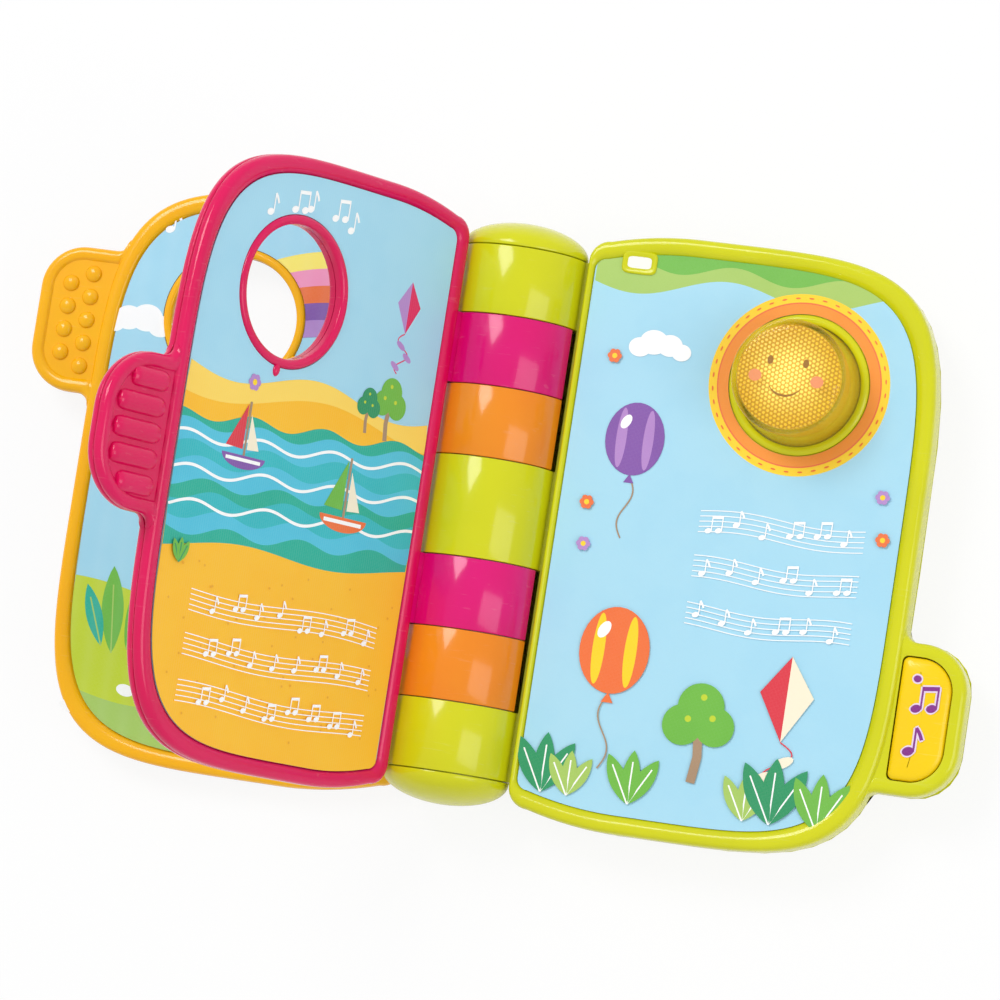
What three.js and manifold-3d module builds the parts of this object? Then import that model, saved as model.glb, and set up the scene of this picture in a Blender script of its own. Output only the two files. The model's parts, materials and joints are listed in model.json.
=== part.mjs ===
// Sound book for a small child, lying open on its back.
// A hollow housing with a picture panel, a lamp button and a note button carries a round spine.
// Two thick pages swing on sleeves that turn round the core tube inside the spine.
// Millimetres, +Z up. The origin is on the flat back, under the middle of the spine's axis.
// +X points from the spine across the housing, +Y along the spine to the top of the page.

import * as THREE from 'three';
import { mergeVertices } from 'three/addons/utils/BufferGeometryUtils.js';
import Module from 'manifold-3d';

const wasm = await Module();
wasm.setup();

// Driving dimensions: fits
const gap = 0.3;
const pageGap = 0.5;

// Driving dimensions: spine
const barrelRadius = 21.5;
const barrelLength = 177;
const barrelWall = 2.2;
const capDepth = 10.5;
const capWall = 2;
const coreWall = 2;
const slotLength = 48.4;
const slotCentre = 41;
const sleeveInset = 0.1;
const sleeveArc = 300;
const sleeveEdgeAngle = 10;

// Driving dimensions: page and panel outline
const outerReach = 147.8;
const halfHeight = 100.6;
const crestReach = 60;
const cornerPower = 4.8;
const topFall = 0.0044;
const innerCorner = 7;
const outlineSteps = 12;
const rimWidth = 5.4;
const rimHeight = 1;
const printThickness = 0.4;

// Driving dimensions: pages
const pageThickness = 7.2;
const plateThickness = 1.3;
const shellWall = 1.6;
const pinkRestAngle = 117.6;
const orangeRestAngle = 176.7;
const pinkRoot = 21.7;
const orangeRoot = 18.4;
const holeRadius = 21.9;
const holeRingRadius = 25;

// Driving dimensions: finger tabs
const tabReach = 23;
const tabHalfHeight = 25.4;
const tabPitch = 49;
const tabCorner = 15;
const pinkTabReach = 28;
const pinkTabCorner = 20;
const tabSteps = 5;
const tabRim = 4.4;
const tabFieldDepth = 0.9;
const ribCount = 5;
const ribPitch = 8.4;
const ribRadius = 1.5;
const bumpRadius = 2.7;
const bumpPitch = 8.1;
const bumpColumnGap = 7.5;

// Driving dimensions: housing
const housingLeft = 22.8;
const housingTop = 26.3;
const housingWall = 2.2;
const floorThickness = 2;
const splitHeight = 13.5;
const stripHeight = 22.6;
const neckStart = 10;
const footReach = 7;
const footHalfLength = 16;
const footHeight = 3;

// Driving dimensions: lamp
const lampFromEdge = 47.3;
const lampFromTop = 44.8;
const lensRadius = 20.4;
const lensTopRadius = 19.2;
const lensTop = 49;
const lensRound = 4;
const lensWall = 1.7;
const lensFlange = 1.9;
const lampTravel = 1.8;
const bezelWidth = 2.9;

// Driving dimensions: note button and page window
const noteRise = 0.6;
const noteCorner = 11;
const noteWall = 1.6;
const windowFromSpine = 17.8;
const windowFromTop = 10.4;
const windowLength = 10.4;
const windowWidth = 5.2;

// Driving dimensions: battery box
const doorFromEdge = 59.8;
const doorFromBottom = 48.6;
const cellEndRoom = 7.75;
const cellSideRoom = 2;
const doorThickness = 1.8;
const trayWall = 2;
const trayHeight = 11.4;
const cellDiameter = 10.5;
const cellLength = 44.5;
const contactThickness = 0.8;

// Driving dimensions: electronics
const boardHeight = 15.2;
const boardThickness = 1.6;
const boardLength = 58;
const boardWidth = 52;
const boardPostInset = 5.5;
const emitterHeight = 5;
const speakerFromEdge = 87.8;
const speakerY = 18;
const speakerRadius = 18;
const speakerDepth = 9;
const grilleHole = 1.5;
const grillePitch = 5.2;
const sliderFromEdge = 19.8;
const sliderY = -8;
const sliderTravel = 4;
const sliderWidth = 5;

// Driving dimensions: screws
const screwRadius = 1.3;
const screwHeadRadius = 2.5;
const screwHeadHeight = 1.8;
const bossWall = 2;
const screwDepth = 3.4;
const screwFromSpine = 15.2;
const screwFromEdge = 21.8;
const screwFromTop = 17.6;

const fullTurn = 2 * Math.PI;
const pinkLift = housingTop - barrelRadius + pageGap;
const orangeLift = pinkLift + pageThickness + pageGap;
const halfBarrel = barrelLength / 2;
const barrelBore = barrelRadius - barrelWall;
const coreRadius = barrelBore - gap;
const sleeveRadius = barrelRadius - sleeveInset;
const sleeveLength = (slotLength - 3 * gap) / 2;
const panelRim = rimWidth + 0.6;
const plateTop = housingTop - rimHeight - printThickness - gap;
const plateUnder = plateTop - housingWall;
const lampX = outerReach - lampFromEdge;
const lampY = halfHeight - lampFromTop;
const windowX = housingLeft + windowFromSpine;
const windowY = halfHeight - windowFromTop;
const doorX = outerReach - doorFromEdge;
const doorY = doorFromBottom - halfHeight;
const doorLength = cellLength + 2 * (cellEndRoom + trayWall);
const doorWidth = 2 * (cellDiameter + cellSideRoom + trayWall);
const speakerX = outerReach - speakerFromEdge;
const sliderX = outerReach - sliderFromEdge;
const farOut = 2 * outerReach;

// Materials: moulded plastics, printed card, clear lens and the metal inside
function plastic(colour, roughness = 0.32) {
  return new THREE.MeshStandardMaterial({ color: colour, roughness, metalness: 0 });
}
const lime = plastic(0xd6da1e);
const pink = plastic(0xdb1260);
const orange = plastic(0xfdb515);
const sky = plastic(0xa5dbf1, 0.45);
const beige = plastic(0xcfc4b0, 0.5);
const yellow = plastic(0xfad60a, 0.35);
const white = plastic(0xf4f4f0, 0.4);
const dark = plastic(0x2b2b2e, 0.6);
const board = plastic(0x2f7d4a, 0.5);
const amber = new THREE.MeshStandardMaterial({
  color: 0xf6d23a, roughness: 0.08, metalness: 0, transparent: true, opacity: 0.55,
});
const steel = new THREE.MeshStandardMaterial({ color: 0xc4c7c9, roughness: 0.3, metalness: 1 });

// Solids: a closed geometry becomes a manifold solid, and back
function solid(geometry) {
  const bare = geometry.clone();
  bare.deleteAttribute('normal');
  bare.deleteAttribute('uv');
  const merged = mergeVertices(bare, 1e-4);
  return new wasm.Manifold(new wasm.Mesh({
    numProp: 3,
    vertProperties: new Float32Array(merged.attributes.position.array),
    triVerts: new Uint32Array(merged.index.array),
  }));
}

function geometryOf(body) {
  const mesh = body.getMesh();
  const geometry = new THREE.BufferGeometry();
  geometry.setAttribute('position', new THREE.BufferAttribute(new Float32Array(mesh.vertProperties), 3));
  geometry.setIndex(new THREE.BufferAttribute(new Uint32Array(mesh.triVerts), 1));
  geometry.computeVertexNormals();
  return geometry;
}

function join(...bodies) {
  return bodies.reduce((sum, body) => sum.add(body));
}

function cut(body, ...tools) {
  return tools.reduce((rest, tool) => rest.subtract(tool), body);
}

// A block between two corners
function block(low, high) {
  const size = high.map((value, axis) => value - low[axis]);
  const geometry = new THREE.BoxGeometry(...size);
  geometry.translate(...low.map((value, axis) => value + size[axis] / 2));
  return solid(geometry);
}

// A round bar that stands on height low and ends at height high
function post(x, y, radius, low, high, segments = 16) {
  const geometry = new THREE.CylinderGeometry(radius, radius, high - low, segments);
  geometry.rotateX(Math.PI / 2);
  geometry.translate(x, y, (low + high) / 2);
  return solid(geometry);
}

// A turned body round +Y, from the [radius, height] points of its section in either direction
function turned(points, segments) {
  const ordered = points.map(([radius, height]) => new THREE.Vector2(radius, height));
  if (THREE.ShapeUtils.isClockWise(ordered)) ordered.reverse();
  return new THREE.LatheGeometry([...ordered, ordered[0].clone()], segments);
}

// A turned body round a vertical axis at x, y
function turnedUp(points, x, y, segments) {
  const geometry = turned(points, segments);
  geometry.rotateX(Math.PI / 2);
  geometry.translate(x, y, 0);
  return solid(geometry);
}

// A round bar along the spine, centred on the axis at height z
function axleBar(radius, from, to, z, segments = 44) {
  const geometry = new THREE.CylinderGeometry(radius, radius, to - from, segments);
  geometry.translate(0, (from + to) / 2, z);
  return solid(geometry);
}

// A stack of rings with the same number of points, joined by bands and closed by two flat ends
function ringStack(rings) {
  const count = rings[0].points.length;
  const positions = rings.flatMap((ring) => ring.points.flatMap(([x, y]) => [x, y, ring.z]));
  const index = [];
  for (let ring = 0; ring + 1 < rings.length; ring += 1) {
    for (let k = 0; k < count; k += 1) {
      const a = ring * count + k;
      const b = ring * count + (k + 1) % count;
      index.push(a, b, b + count, a, b + count, a + count);
    }
  }
  const ends = [0, rings.length - 1];
  ends.forEach((ring) => {
    const contour = rings[ring].points.map(([x, y]) => new THREE.Vector2(x, y));
    THREE.ShapeUtils.triangulateShape(contour, []).forEach(([a, b, c]) => {
      const face = ring === 0 ? [a, c, b] : [a, b, c];
      index.push(...face.map((k) => ring * count + k));
    });
  });
  const geometry = new THREE.BufferGeometry();
  geometry.setAttribute('position', new THREE.BufferAttribute(new Float32Array(positions), 3));
  geometry.setIndex(index);
  return solid(geometry);
}

// The page outline: a superellipse to the outer edge, a slow fall towards the spine, a small corner.
// It is drawn inset from the outer edge, and by its own amount at the spine side.
function outline(root, inset, rootInset) {
  const half = halfHeight - inset;
  const reach = outerReach - crestReach - inset;
  const left = root + rootInset;
  const corner = Math.max(innerCorner - inset / 2, 2);
  const points = [];
  for (let k = 0; k <= 2 * outlineSteps; k += 1) {
    const turn = Math.PI * (k / (2 * outlineSteps) - 0.5);
    const across = Math.abs(Math.cos(turn)) ** (2 / cornerPower);
    const along = Math.abs(Math.sin(turn)) ** (2 / cornerPower) * Math.sign(turn || 1);
    points.push([crestReach + reach * across, half * along]);
  }
  const fallTo = left + corner;
  const fallAt = (x) => half - topFall * (crestReach - x) ** 2;
  const cornerY = fallAt(fallTo) - corner;
  const top = [[(crestReach + fallTo) / 2, fallAt((crestReach + fallTo) / 2)], [fallTo, fallAt(fallTo)]];
  for (let k = 1; k <= 3; k += 1) {
    const turn = (k / 3) * Math.PI / 2;
    top.push([fallTo - corner * Math.sin(turn), cornerY + corner * Math.cos(turn)]);
  }
  const bottom = top.map(([x, y]) => [x, -y]).reverse();
  return [...points, ...top, ...bottom];
}

// A body whose outline changes with height: [inset, inset at the spine side, height] for each ring
function outlined(root, profile) {
  return ringStack(profile.map(([inset, rootInset, z]) => ({ points: outline(root, inset, rootInset), z })));
}

// The outline of a finger tab: straight at the page, round at its outer end
function tabOutline(centre, inset, from, corner, reach) {
  const right = outerReach + reach - inset;
  const half = tabHalfHeight - inset;
  const round = Math.max(corner - inset, 2);
  const points = [[from, centre - half]];
  [-1, 1].forEach((side) => {
    for (let k = 0; k <= tabSteps; k += 1) {
      const turn = (side < 0 ? k - tabSteps : k) / tabSteps * Math.PI / 2;
      points.push([right - round + round * Math.cos(turn), centre + side * (half - round) + round * Math.sin(turn)]);
    }
  });
  points.push([from, centre + half]);
  return points;
}

function tabbed(centre, from, profile, corner = tabCorner, reach = tabReach) {
  return ringStack(profile.map(([inset, z]) => ({ points: tabOutline(centre, inset, from, corner, reach), z })));
}

// Housing: the outer form, the space inside it, and the two halves that part at splitHeight
function housingForm() {
  const backInset = 9;
  const panel = outlined(housingLeft, [
    [backInset, 0, 0],
    [backInset / 2, 0, 1.6],
    [backInset / 8, 0, 6],
    [0, 0, splitHeight],
    [0, 0, housingTop - 3],
    [0.5, 0.3, housingTop - 1.3],
    [1.8, 0.8, housingTop - 0.2],
    [3, 1.3, housingTop],
    [panelRim - 0.9, 2.2, housingTop - 0.5],
    [panelRim, 2.6, plateTop],
  ]);
  const tab = tabbed(-tabPitch, outerReach - rimWidth, [
    [7, 3],
    [1.6, 7],
    [0, splitHeight],
    [0, housingTop - 4],
    [1, housingTop - 2],
    [3, housingTop - 1.6],
    [5, housingTop - 3],
  ]);
  const barrel = axleBar(barrelRadius, -halfBarrel, halfBarrel, barrelRadius);
  const neck = block([neckStart, -halfBarrel, 0], [housingLeft + 3, halfBarrel, stripHeight]);
  const foot = block([-footReach, -footHalfLength, 0], [neckStart + 1, footHalfLength, footHeight]);
  return join(panel, tab, barrel, neck, foot);
}

function housingSpace() {
  const side = housingWall;
  const room = outlined(housingLeft, [
    [11, side, floorThickness],
    [6.6, side, floorThickness + 1.4],
    [side + 1, side, 7.5],
    [side, side, splitHeight],
    [side, side, plateUnder],
  ]);
  const wallRound = barrelRadius + gap + 2;
  const neckRoom = cut(
    block([neckStart + 4, -halfBarrel + side, floorThickness], [housingLeft + 4, halfBarrel - side, stripHeight - side]),
    axleBar(wallRound, -halfBarrel, halfBarrel, barrelRadius),
  );
  const tabRoom = tabbed(-tabPitch, outerReach - 2.2 * rimWidth, [[9, 5.4], [3.2, 9], [2, splitHeight], [2, housingTop - 4.2]]);
  return join(room, neckRoom, tabRoom);
}

function slots() {
  return join(...[-1, 1].map((side) => {
    const middle = side * slotCentre;
    return axleBar(barrelRadius + gap + sleeveInset, middle - slotLength / 2, middle + slotLength / 2, barrelRadius);
  }));
}

const screwPlaces = [
  [housingLeft + screwFromSpine, halfHeight - screwFromTop],
  [housingLeft + screwFromSpine, screwFromTop - halfHeight],
  [outerReach - screwFromEdge, halfHeight - screwFromTop],
  [outerReach - screwFromEdge, screwFromTop - halfHeight],
  [lampX - boardLength / 2, lampY],
  [outerReach - 2.5 * rimWidth, lampY - lampFromTop],
];

function screwBosses(low, high, radius) {
  return join(...screwPlaces.map(([x, y]) => post(x, y, radius, low, high, 12)));
}

const noteFrom = outerReach + 2 * gap;
const noteInset = tabRim + 0.6;

function noteHole(grow, low, high) {
  return tabbed(-tabPitch, noteFrom - grow, [[noteInset - grow, low], [noteInset - grow, high]], noteCorner + noteInset);
}

function frontHousing() {
  const bossRadius = screwRadius + gap + bossWall;
  const shell = join(
    cut(housingForm(), housingSpace()),
    screwBosses(splitHeight + gap, plateUnder + 0.5, bossRadius),
  );
  const opened = cut(
    shell,
    block([-farOut, -farOut, -farOut], [farOut, farOut, splitHeight + gap / 2]),
    axleBar(barrelBore, -halfBarrel - 1, halfBarrel + 1, barrelRadius),
    slots(),
    post(lampX, lampY, lensRadius + gap, plateUnder - 1, housingTop + 1, 32),
    noteHole(gap, splitHeight, housingTop + 1),
    windowCut(0, plateUnder - 1, housingTop + 1),
    screwBosses(splitHeight, plateUnder - 1.5, screwRadius + gap),
  );
  return geometryOf(opened);
}

function windowCut(grow, low, high) {
  return block(
    [windowX - windowLength / 2 - grow, windowY - windowWidth / 2 - grow, low],
    [windowX + windowLength / 2 + grow, windowY + windowWidth / 2 + grow, high],
  );
}

// The back shell, with the battery tray, the posts of the board, the grille and the slider's slot
const trayInnerLength = doorLength - 2 * trayWall;
const trayInnerWidth = doorWidth - 2 * trayWall;
const boardPosts = [[-1, -1], [1, -1], [-1, 1], [1, 1]].map(([alongX, alongY]) => [
  lampX + alongX * (boardLength / 2 - boardPostInset), lampY + alongY * (boardWidth / 2 - boardPostInset),
]);
const cellX = doorX + (trayInnerLength - cellLength) / 2 - 2.4;

function doorBlock(grow, low, high) {
  return block(
    [doorX - doorLength / 2 - grow, doorY - doorWidth / 2 - grow, low],
    [doorX + doorLength / 2 + grow, doorY + doorWidth / 2 + grow, high],
  );
}

function grilleHoles() {
  const holes = [];
  for (let row = -2; row <= 2; row += 1) {
    for (let column = -2; column <= 2; column += 1) {
      const x = speakerX + (column + (row % 2) / 2) * grillePitch;
      const y = speakerY + row * grillePitch * 0.87;
      const inside = Math.hypot(x - speakerX, y - speakerY) < 2.2 * grillePitch;
      if (inside) holes.push(post(x, y, grilleHole, -1, floorThickness + 1, 6));
    }
  }
  return join(...holes);
}

const doorScrewX = doorX - doorLength / 2 + trayWall + 4.6;
const doorBossTop = 5;
const headRecess = 3.2;

function rearHousing() {
  const bossRadius = screwHeadRadius + gap + bossWall;
  const trayLow = floorThickness - 0.5;
  const tray = cut(
    doorBlock(trayWall, trayLow, trayHeight + doorThickness),
    block(
      [doorX - trayInnerLength / 2, doorY - trayInnerWidth / 2, -1],
      [doorX + trayInnerLength / 2, doorY + trayInnerWidth / 2, trayHeight + 5],
    ),
  );
  const trayBoss = join(
    post(doorScrewX, doorY, 3.6, doorBossTop + gap, trayHeight + doorThickness, 16),
    block(
      [doorX - doorLength / 2, doorY - 1.2, doorBossTop + 2],
      [doorScrewX, doorY + 1.2, trayHeight + doorThickness],
    ),
  );
  const lower = cut(
    join(cut(housingForm(), housingSpace()), screwBosses(0, splitHeight, bossRadius)),
    block([-farOut, -farOut, splitHeight - gap / 2], [farOut, farOut, farOut]),
  );
  const speakerRing = cut(
    post(speakerX, speakerY, speakerRadius + gap + 1.6, 1, 5.5, 20),
    post(speakerX, speakerY, speakerRadius + gap, floorThickness, 7, 20),
  );
  const shell = join(
    lower,
    tray,
    trayBoss,
    contactStop(),
    speakerRing,
    ...boardPosts.map(([x, y]) => post(x, y, 2.6, 1, boardHeight - gap, 8)),
  );
  return geometryOf(cut(
    shell,
    axleBar(barrelBore, -halfBarrel - 1, halfBarrel + 1, barrelRadius),
    slots(),
    doorBlock(gap, -1, doorThickness + gap),
    post(doorScrewX, doorY, screwRadius + gap, 0, trayHeight, 12),
    screwBosses(-1, screwDepth + screwHeadHeight + gap, screwHeadRadius + gap),
    screwBosses(0, splitHeight + 1, screwRadius + gap),
    grilleHoles(),
    block(
      [sliderX - sliderTravel - sliderWidth / 2 - gap, sliderY - sliderWidth / 2 - gap, -1],
      [sliderX + sliderTravel + sliderWidth / 2 + gap, sliderY + sliderWidth / 2 + gap, floorThickness + 1],
    ),
  ));
}

// Spine: two domed end caps with a spigot, and the core tube that the sleeves turn on
const spigotLength = 4;

function spineCap(side) {
  const steps = 4;
  const points = [];
  for (let k = 0; k <= steps; k += 1) {
    const turn = (k / steps) * Math.PI / 2;
    points.push([barrelRadius * Math.cos(turn), halfBarrel + gap + (capDepth - gap) * Math.sin(turn)]);
  }
  const inner = points.map(([radius, along]) => [
    Math.max(radius - capWall, 0) * (1 - capWall / (3 * barrelRadius)), Math.max(along - capWall, halfBarrel + gap),
  ]).reverse();
  const spigotRadius = barrelBore - gap;
  const start = halfBarrel - spigotLength;
  const profile = [
    ...points.slice(0, -1),
    [0, halfBarrel + capDepth],
    [0, halfBarrel + capDepth - capWall],
    ...inner.slice(1, -2),
    [spigotRadius - capWall, halfBarrel + gap],
    [spigotRadius - capWall, start],
    [spigotRadius, start],
    [spigotRadius, halfBarrel + gap],
  ];
  const geometry = turned(profile, 32);
  if (side < 0) geometry.rotateX(Math.PI);
  geometry.translate(0, 0, barrelRadius);
  return geometryOf(solid(geometry));
}

function spineCore() {
  const half = halfBarrel - spigotLength - gap;
  return geometryOf(cut(
    axleBar(coreRadius, -half, half, barrelRadius, 40),
    axleBar(coreRadius - coreWall, -half - 1, half + 1, barrelRadius, 40),
  ));
}

// Pages: a front and a back shell, drawn closed on the panel with the hinge axis at the origin
function sleeveTube(from, to, startAngle, arc) {
  const steps = Math.round(arc / 12.5);
  const outer = [];
  const inner = [];
  for (let k = 0; k <= steps; k += 1) {
    const turn = (startAngle + arc * k / steps) * Math.PI / 180;
    outer.push(new THREE.Vector2(sleeveRadius * Math.cos(turn), sleeveRadius * Math.sin(turn)));
    inner.push(new THREE.Vector2(barrelBore * Math.cos(turn), barrelBore * Math.sin(turn)));
  }
  const shape = new THREE.Shape([...outer, ...inner.reverse()]);
  const geometry = new THREE.ExtrudeGeometry(shape, { depth: to - from, bevelEnabled: false });
  geometry.rotateX(Math.PI / 2);
  geometry.translate(0, to, 0);
  return solid(geometry);
}

// Rim profile of one shell: from the floor under the print over the bead to the joint at mid-page
function shellProfile(rootRim, floor, half) {
  const share = rootRim / rimWidth;
  const bead = [
    [rimWidth, floor],
    [rimWidth - 0.5, 0.4],
    [rimWidth - 1.8, 0],
    [1.6, 0.3],
    [0.4, 1.4],
    [0, 2.6],
    [0, half],
  ];
  return bead.map(([inset, depth]) => [inset, inset * share, depth]);
}

const pageFloor = rimHeight + printThickness + gap;
const shellDepth = (pageThickness - gap) / 2;
const rootRim = 2.6;

// One shell of a page, front face at depth 0 and the joint at shellDepth
function pageShell(root, tab, extras) {
  const body = outlined(root, shellProfile(rootRim, pageFloor, shellDepth).reverse().map(
    ([inset, rootInset, depth]) => [inset, rootInset, -depth],
  ));
  const grip = tabbed(tab.centre, outerReach - shellWall, [
    [0, -shellDepth], [0, -2.2], [1, -0.7], [2.4, -0.35], [tabRim, -0.7], [tabRim + 0.3, -0.35 - tabFieldDepth],
  ], tab.corner, tab.reach);
  const ring = post(lampX, lampY, holeRingRadius, -pageFloor - plateThickness / 2, -0.2, 32);
  const room = outlined(root, [
    [shellWall, shellWall, -shellDepth - 1],
    [shellWall, shellWall, -pageFloor - plateThickness],
  ]);
  const ringWall = post(lampX, lampY, holeRadius + shellWall, -shellDepth - 2, 0, 32);
  return cut(
    join(cut(body, cut(room, ringWall)), grip, ring, ...extras),
    post(lampX, lampY, holeRadius, -pageThickness, 1, 32),
  );
}

function ribs({ centre, corner, reach: tabLength }) {
  const bars = [];
  const reach = outerReach + tabLength - tabRim;
  for (let k = 0; k < ribCount; k += 1) {
    const y = centre + (k - (ribCount - 1) / 2) * ribPitch;
    const round = corner - tabRim;
    const over = Math.max(Math.abs(y - centre) - (tabHalfHeight - tabRim - round), 0);
    const end = reach - round + Math.sqrt(Math.max(round ** 2 - over ** 2, 0)) - 1;
    const bar = new THREE.CapsuleGeometry(ribRadius, end - outerReach - 5, 2, 8);
    bar.rotateZ(Math.PI / 2);
    bar.translate((outerReach + 4 + end) / 2, y, -0.35 - tabFieldDepth);
    bars.push(solid(bar));
  }
  return bars;
}

function bumps({ centre, reach }) {
  const domes = [];
  const middle = outerReach + reach / 2 - 3;
  [[4, bumpColumnGap / 2], [5, -bumpColumnGap / 2]].forEach(([count, shift]) => {
    for (let k = 0; k < count; k += 1) {
      const dome = new THREE.SphereGeometry(bumpRadius, 8, 6);
      dome.scale(1, 1, 0.55);
      dome.translate(middle + shift, centre + (k - (count - 1) / 2) * bumpPitch, -0.35 - tabFieldDepth);
      domes.push(solid(dome));
    }
  });
  return domes;
}

// Sleeves and the webs that carry the page on them; order is 1 for the upper sleeve of each slot
function sleeves(lift, root, order, restAngle) {
  const startAngle = sleeveEdgeAngle - restAngle;
  return [-1, 1].map((side) => {
    const middle = side * slotCentre + order * (sleeveLength + gap) / 2;
    const from = middle - sleeveLength / 2;
    const to = middle + sleeveLength / 2;
    const inward = Math.sqrt(barrelBore ** 2 - lift ** 2) - 4;
    const web = block([inward, from, lift], [root + rootRim / 2, to, lift + shellDepth]);
    return join(sleeveTube(from, to, startAngle, sleeveArc), cut(web, axleBar(barrelBore, from - 1, to + 1, 0)));
  });
}

function flipFront(body, lift) {
  const geometry = geometryOf(body);
  const position = geometry.attributes.position;
  for (let k = 0; k < position.count; k += 1) position.setZ(k, lift - position.getZ(k));
  const index = geometry.index.array;
  for (let k = 0; k < index.length; k += 3) {
    const first = index[k];
    index[k] = index[k + 1];
    index[k + 1] = first;
  }
  geometry.computeVertexNormals();
  return geometry;
}

// Front shell: the face that looks down on the panel when the page is closed, with the sleeves
function pageFront(root, lift, tab, order, restAngle, extras) {
  const face = solid(flipFront(pageShell(root, tab, extras), lift));
  return geometryOf(join(face, ...sleeves(lift, root, order, restAngle)));
}

function pageBack(root, lift, tab, extras) {
  const geometry = geometryOf(pageShell(root, tab, extras));
  geometry.translate(0, 0, lift + pageThickness);
  return geometry;
}

// A print: a thin sheet inside the rim, with the holes it needs
function printSheet(root, rim, rootEdge, low, holes) {
  const sheet = outlined(root, [
    [rim + gap, rootEdge + gap, low],
    [rim + gap, rootEdge + gap, low + printThickness],
  ]);
  return geometryOf(cut(sheet, ...holes));
}

function pagePrint(root, lift, back) {
  const low = back ? lift + pageThickness - rimHeight - printThickness : lift + rimHeight;
  return printSheet(root, rimWidth, rootRim, low, [
    post(lampX, lampY, holeRingRadius + gap, low - 1, low + 2, 32),
  ]);
}

// Lamp: a clear push lens with a flange under the panel, a honeycomb disc in it, a bezel round it
const flangeTop = plateUnder - gap;
const lensFloor = flangeTop - 1.5;

function lampLens() {
  const points = [[lensRadius, flangeTop], [lensRadius, housingTop]];
  for (let k = 0; k <= 4; k += 1) {
    const turn = (k / 4) * Math.PI / 2;
    points.push([
      lensTopRadius - lensRound + lensRound * Math.cos(turn), lensTop - lensRound + lensRound * Math.sin(turn),
    ]);
  }
  points.push([0, lensTop], [0, lensTop - lensWall]);
  for (let k = 0; k <= 3; k += 1) {
    const turn = Math.PI / 2 - (k / 3) * Math.PI / 2;
    const round = lensRound - lensWall;
    points.push([
      lensTopRadius - lensRound + round * Math.cos(turn), lensTop - lensRound + round * Math.sin(turn),
    ]);
  }
  points.push(
    [lensRadius - lensWall, housingTop],
    [lensRadius - lensWall, lensFloor],
    [lensRadius + lensFlange, lensFloor],
    [lensRadius + lensFlange, flangeTop],
  );
  return geometryOf(turnedUp(points, lampX, lampY, 32));
}

function lampReflector() {
  const radius = lensTopRadius - lensWall - gap;
  const top = lensTop - lensRound - gap;
  return geometryOf(turnedUp([
    [0, top + 1.2], [radius * 0.6, top + 0.9], [radius, top], [radius, top - 3],
    [radius - 1.2, top - 3], [radius - 1.2, top - 1.2], [0, top - 0.6],
  ], lampX, lampY, 32));
}

function lampBezel() {
  const inner = lensRadius + gap;
  const low = plateTop + gap;
  return geometryOf(turnedUp([
    [inner, low], [inner + bezelWidth, low], [inner + bezelWidth, housingTop - 0.8],
    [inner + bezelWidth * 0.7, housingTop - 0.15], [inner + bezelWidth * 0.3, housingTop - 0.15],
    [inner, housingTop - 0.6],
  ], lampX, lampY, 32));
}

// Note button: a D-shaped key with a flange under the tab's rim
function noteButton() {
  const top = housingTop - 1.6 + noteRise;
  const under = housingTop - 4.2 - gap;
  const key = tabbed(-tabPitch, noteFrom, [
    [noteInset, under - 1], [noteInset, top - 1.6], [noteInset + 0.5, top - 0.6],
    [noteInset + 1.8, top], [noteInset + 5, top + 0.4],
  ], noteCorner + noteInset);
  const flange = tabbed(-tabPitch, noteFrom - 1.4, [
    [noteInset - 1.4, under - 1.4], [noteInset - 1.4, under],
  ], noteCorner + noteInset);
  const hollow = tabbed(-tabPitch, noteFrom + noteWall, [
    [noteInset + noteWall, under - 2], [noteInset + noteWall, top - 1.6 - noteWall],
  ], noteCorner + noteInset);
  return geometryOf(cut(join(key, flange), hollow));
}

// Battery box parts
function batteryDoor() {
  return geometryOf(cut(
    join(
      doorBlock(0, 0, doorThickness),
      post(doorScrewX, doorY, 4.2, doorThickness - 0.5, doorBossTop, 16),
    ),
    post(doorScrewX, doorY, screwHeadRadius + gap, -1, headRecess, 16),
    post(doorScrewX, doorY, screwRadius + gap, -1, doorBossTop + 1, 12),
  ));
}

function screw(x, y, headLow, tip) {
  const top = headLow + screwHeadHeight;
  const head = post(x, y, screwHeadRadius, headLow, top, 12);
  const slot = [0, Math.PI / 2].map((turn) => {
    const bar = new THREE.BoxGeometry(2.8, 0.7, 1.6);
    bar.rotateZ(turn);
    bar.translate(x, y, headLow);
    return solid(bar);
  });
  return geometryOf(cut(join(head, post(x, y, screwRadius, top - 0.2, tip, 8)), ...slot));
}

function battery(side) {
  const radius = cellDiameter / 2;
  const nub = 1.2;
  const profile = [
    [0, 0], [radius - 0.4, 0], [radius, 0.5], [radius, cellLength - nub - 0.5], [radius - 0.5, cellLength - nub],
    [1.9, cellLength - nub], [1.9, cellLength], [0, cellLength],
  ];
  const geometry = turned(profile, 16);
  geometry.translate(0, -cellLength / 2, 0);
  geometry.rotateZ(side < 0 ? Math.PI / 2 : -Math.PI / 2);
  geometry.translate(cellX, doorY + side * (radius + gap), doorThickness + gap + radius);
  return geometryOf(solid(geometry));
}

function batteryContact(end) {
  const x = cellX + end * (cellLength / 2 + gap + contactThickness / 2);
  const low = doorThickness + gap;
  return geometryOf(block(
    [x - contactThickness / 2, doorY - cellDiameter, low + 1],
    [x + contactThickness / 2, doorY + cellDiameter, low + cellDiameter - 1],
  ));
}

// The end wall that carries the inner contact is part of the tray, so the contact seats on it
function contactStop() {
  const x = cellX - cellLength / 2 - 2 * gap - contactThickness;
  return block(
    [x - 1.6, doorY - trayInnerWidth / 2, doorThickness + gap],
    [x, doorY + trayInnerWidth / 2, trayHeight + doorThickness],
  );
}

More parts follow.
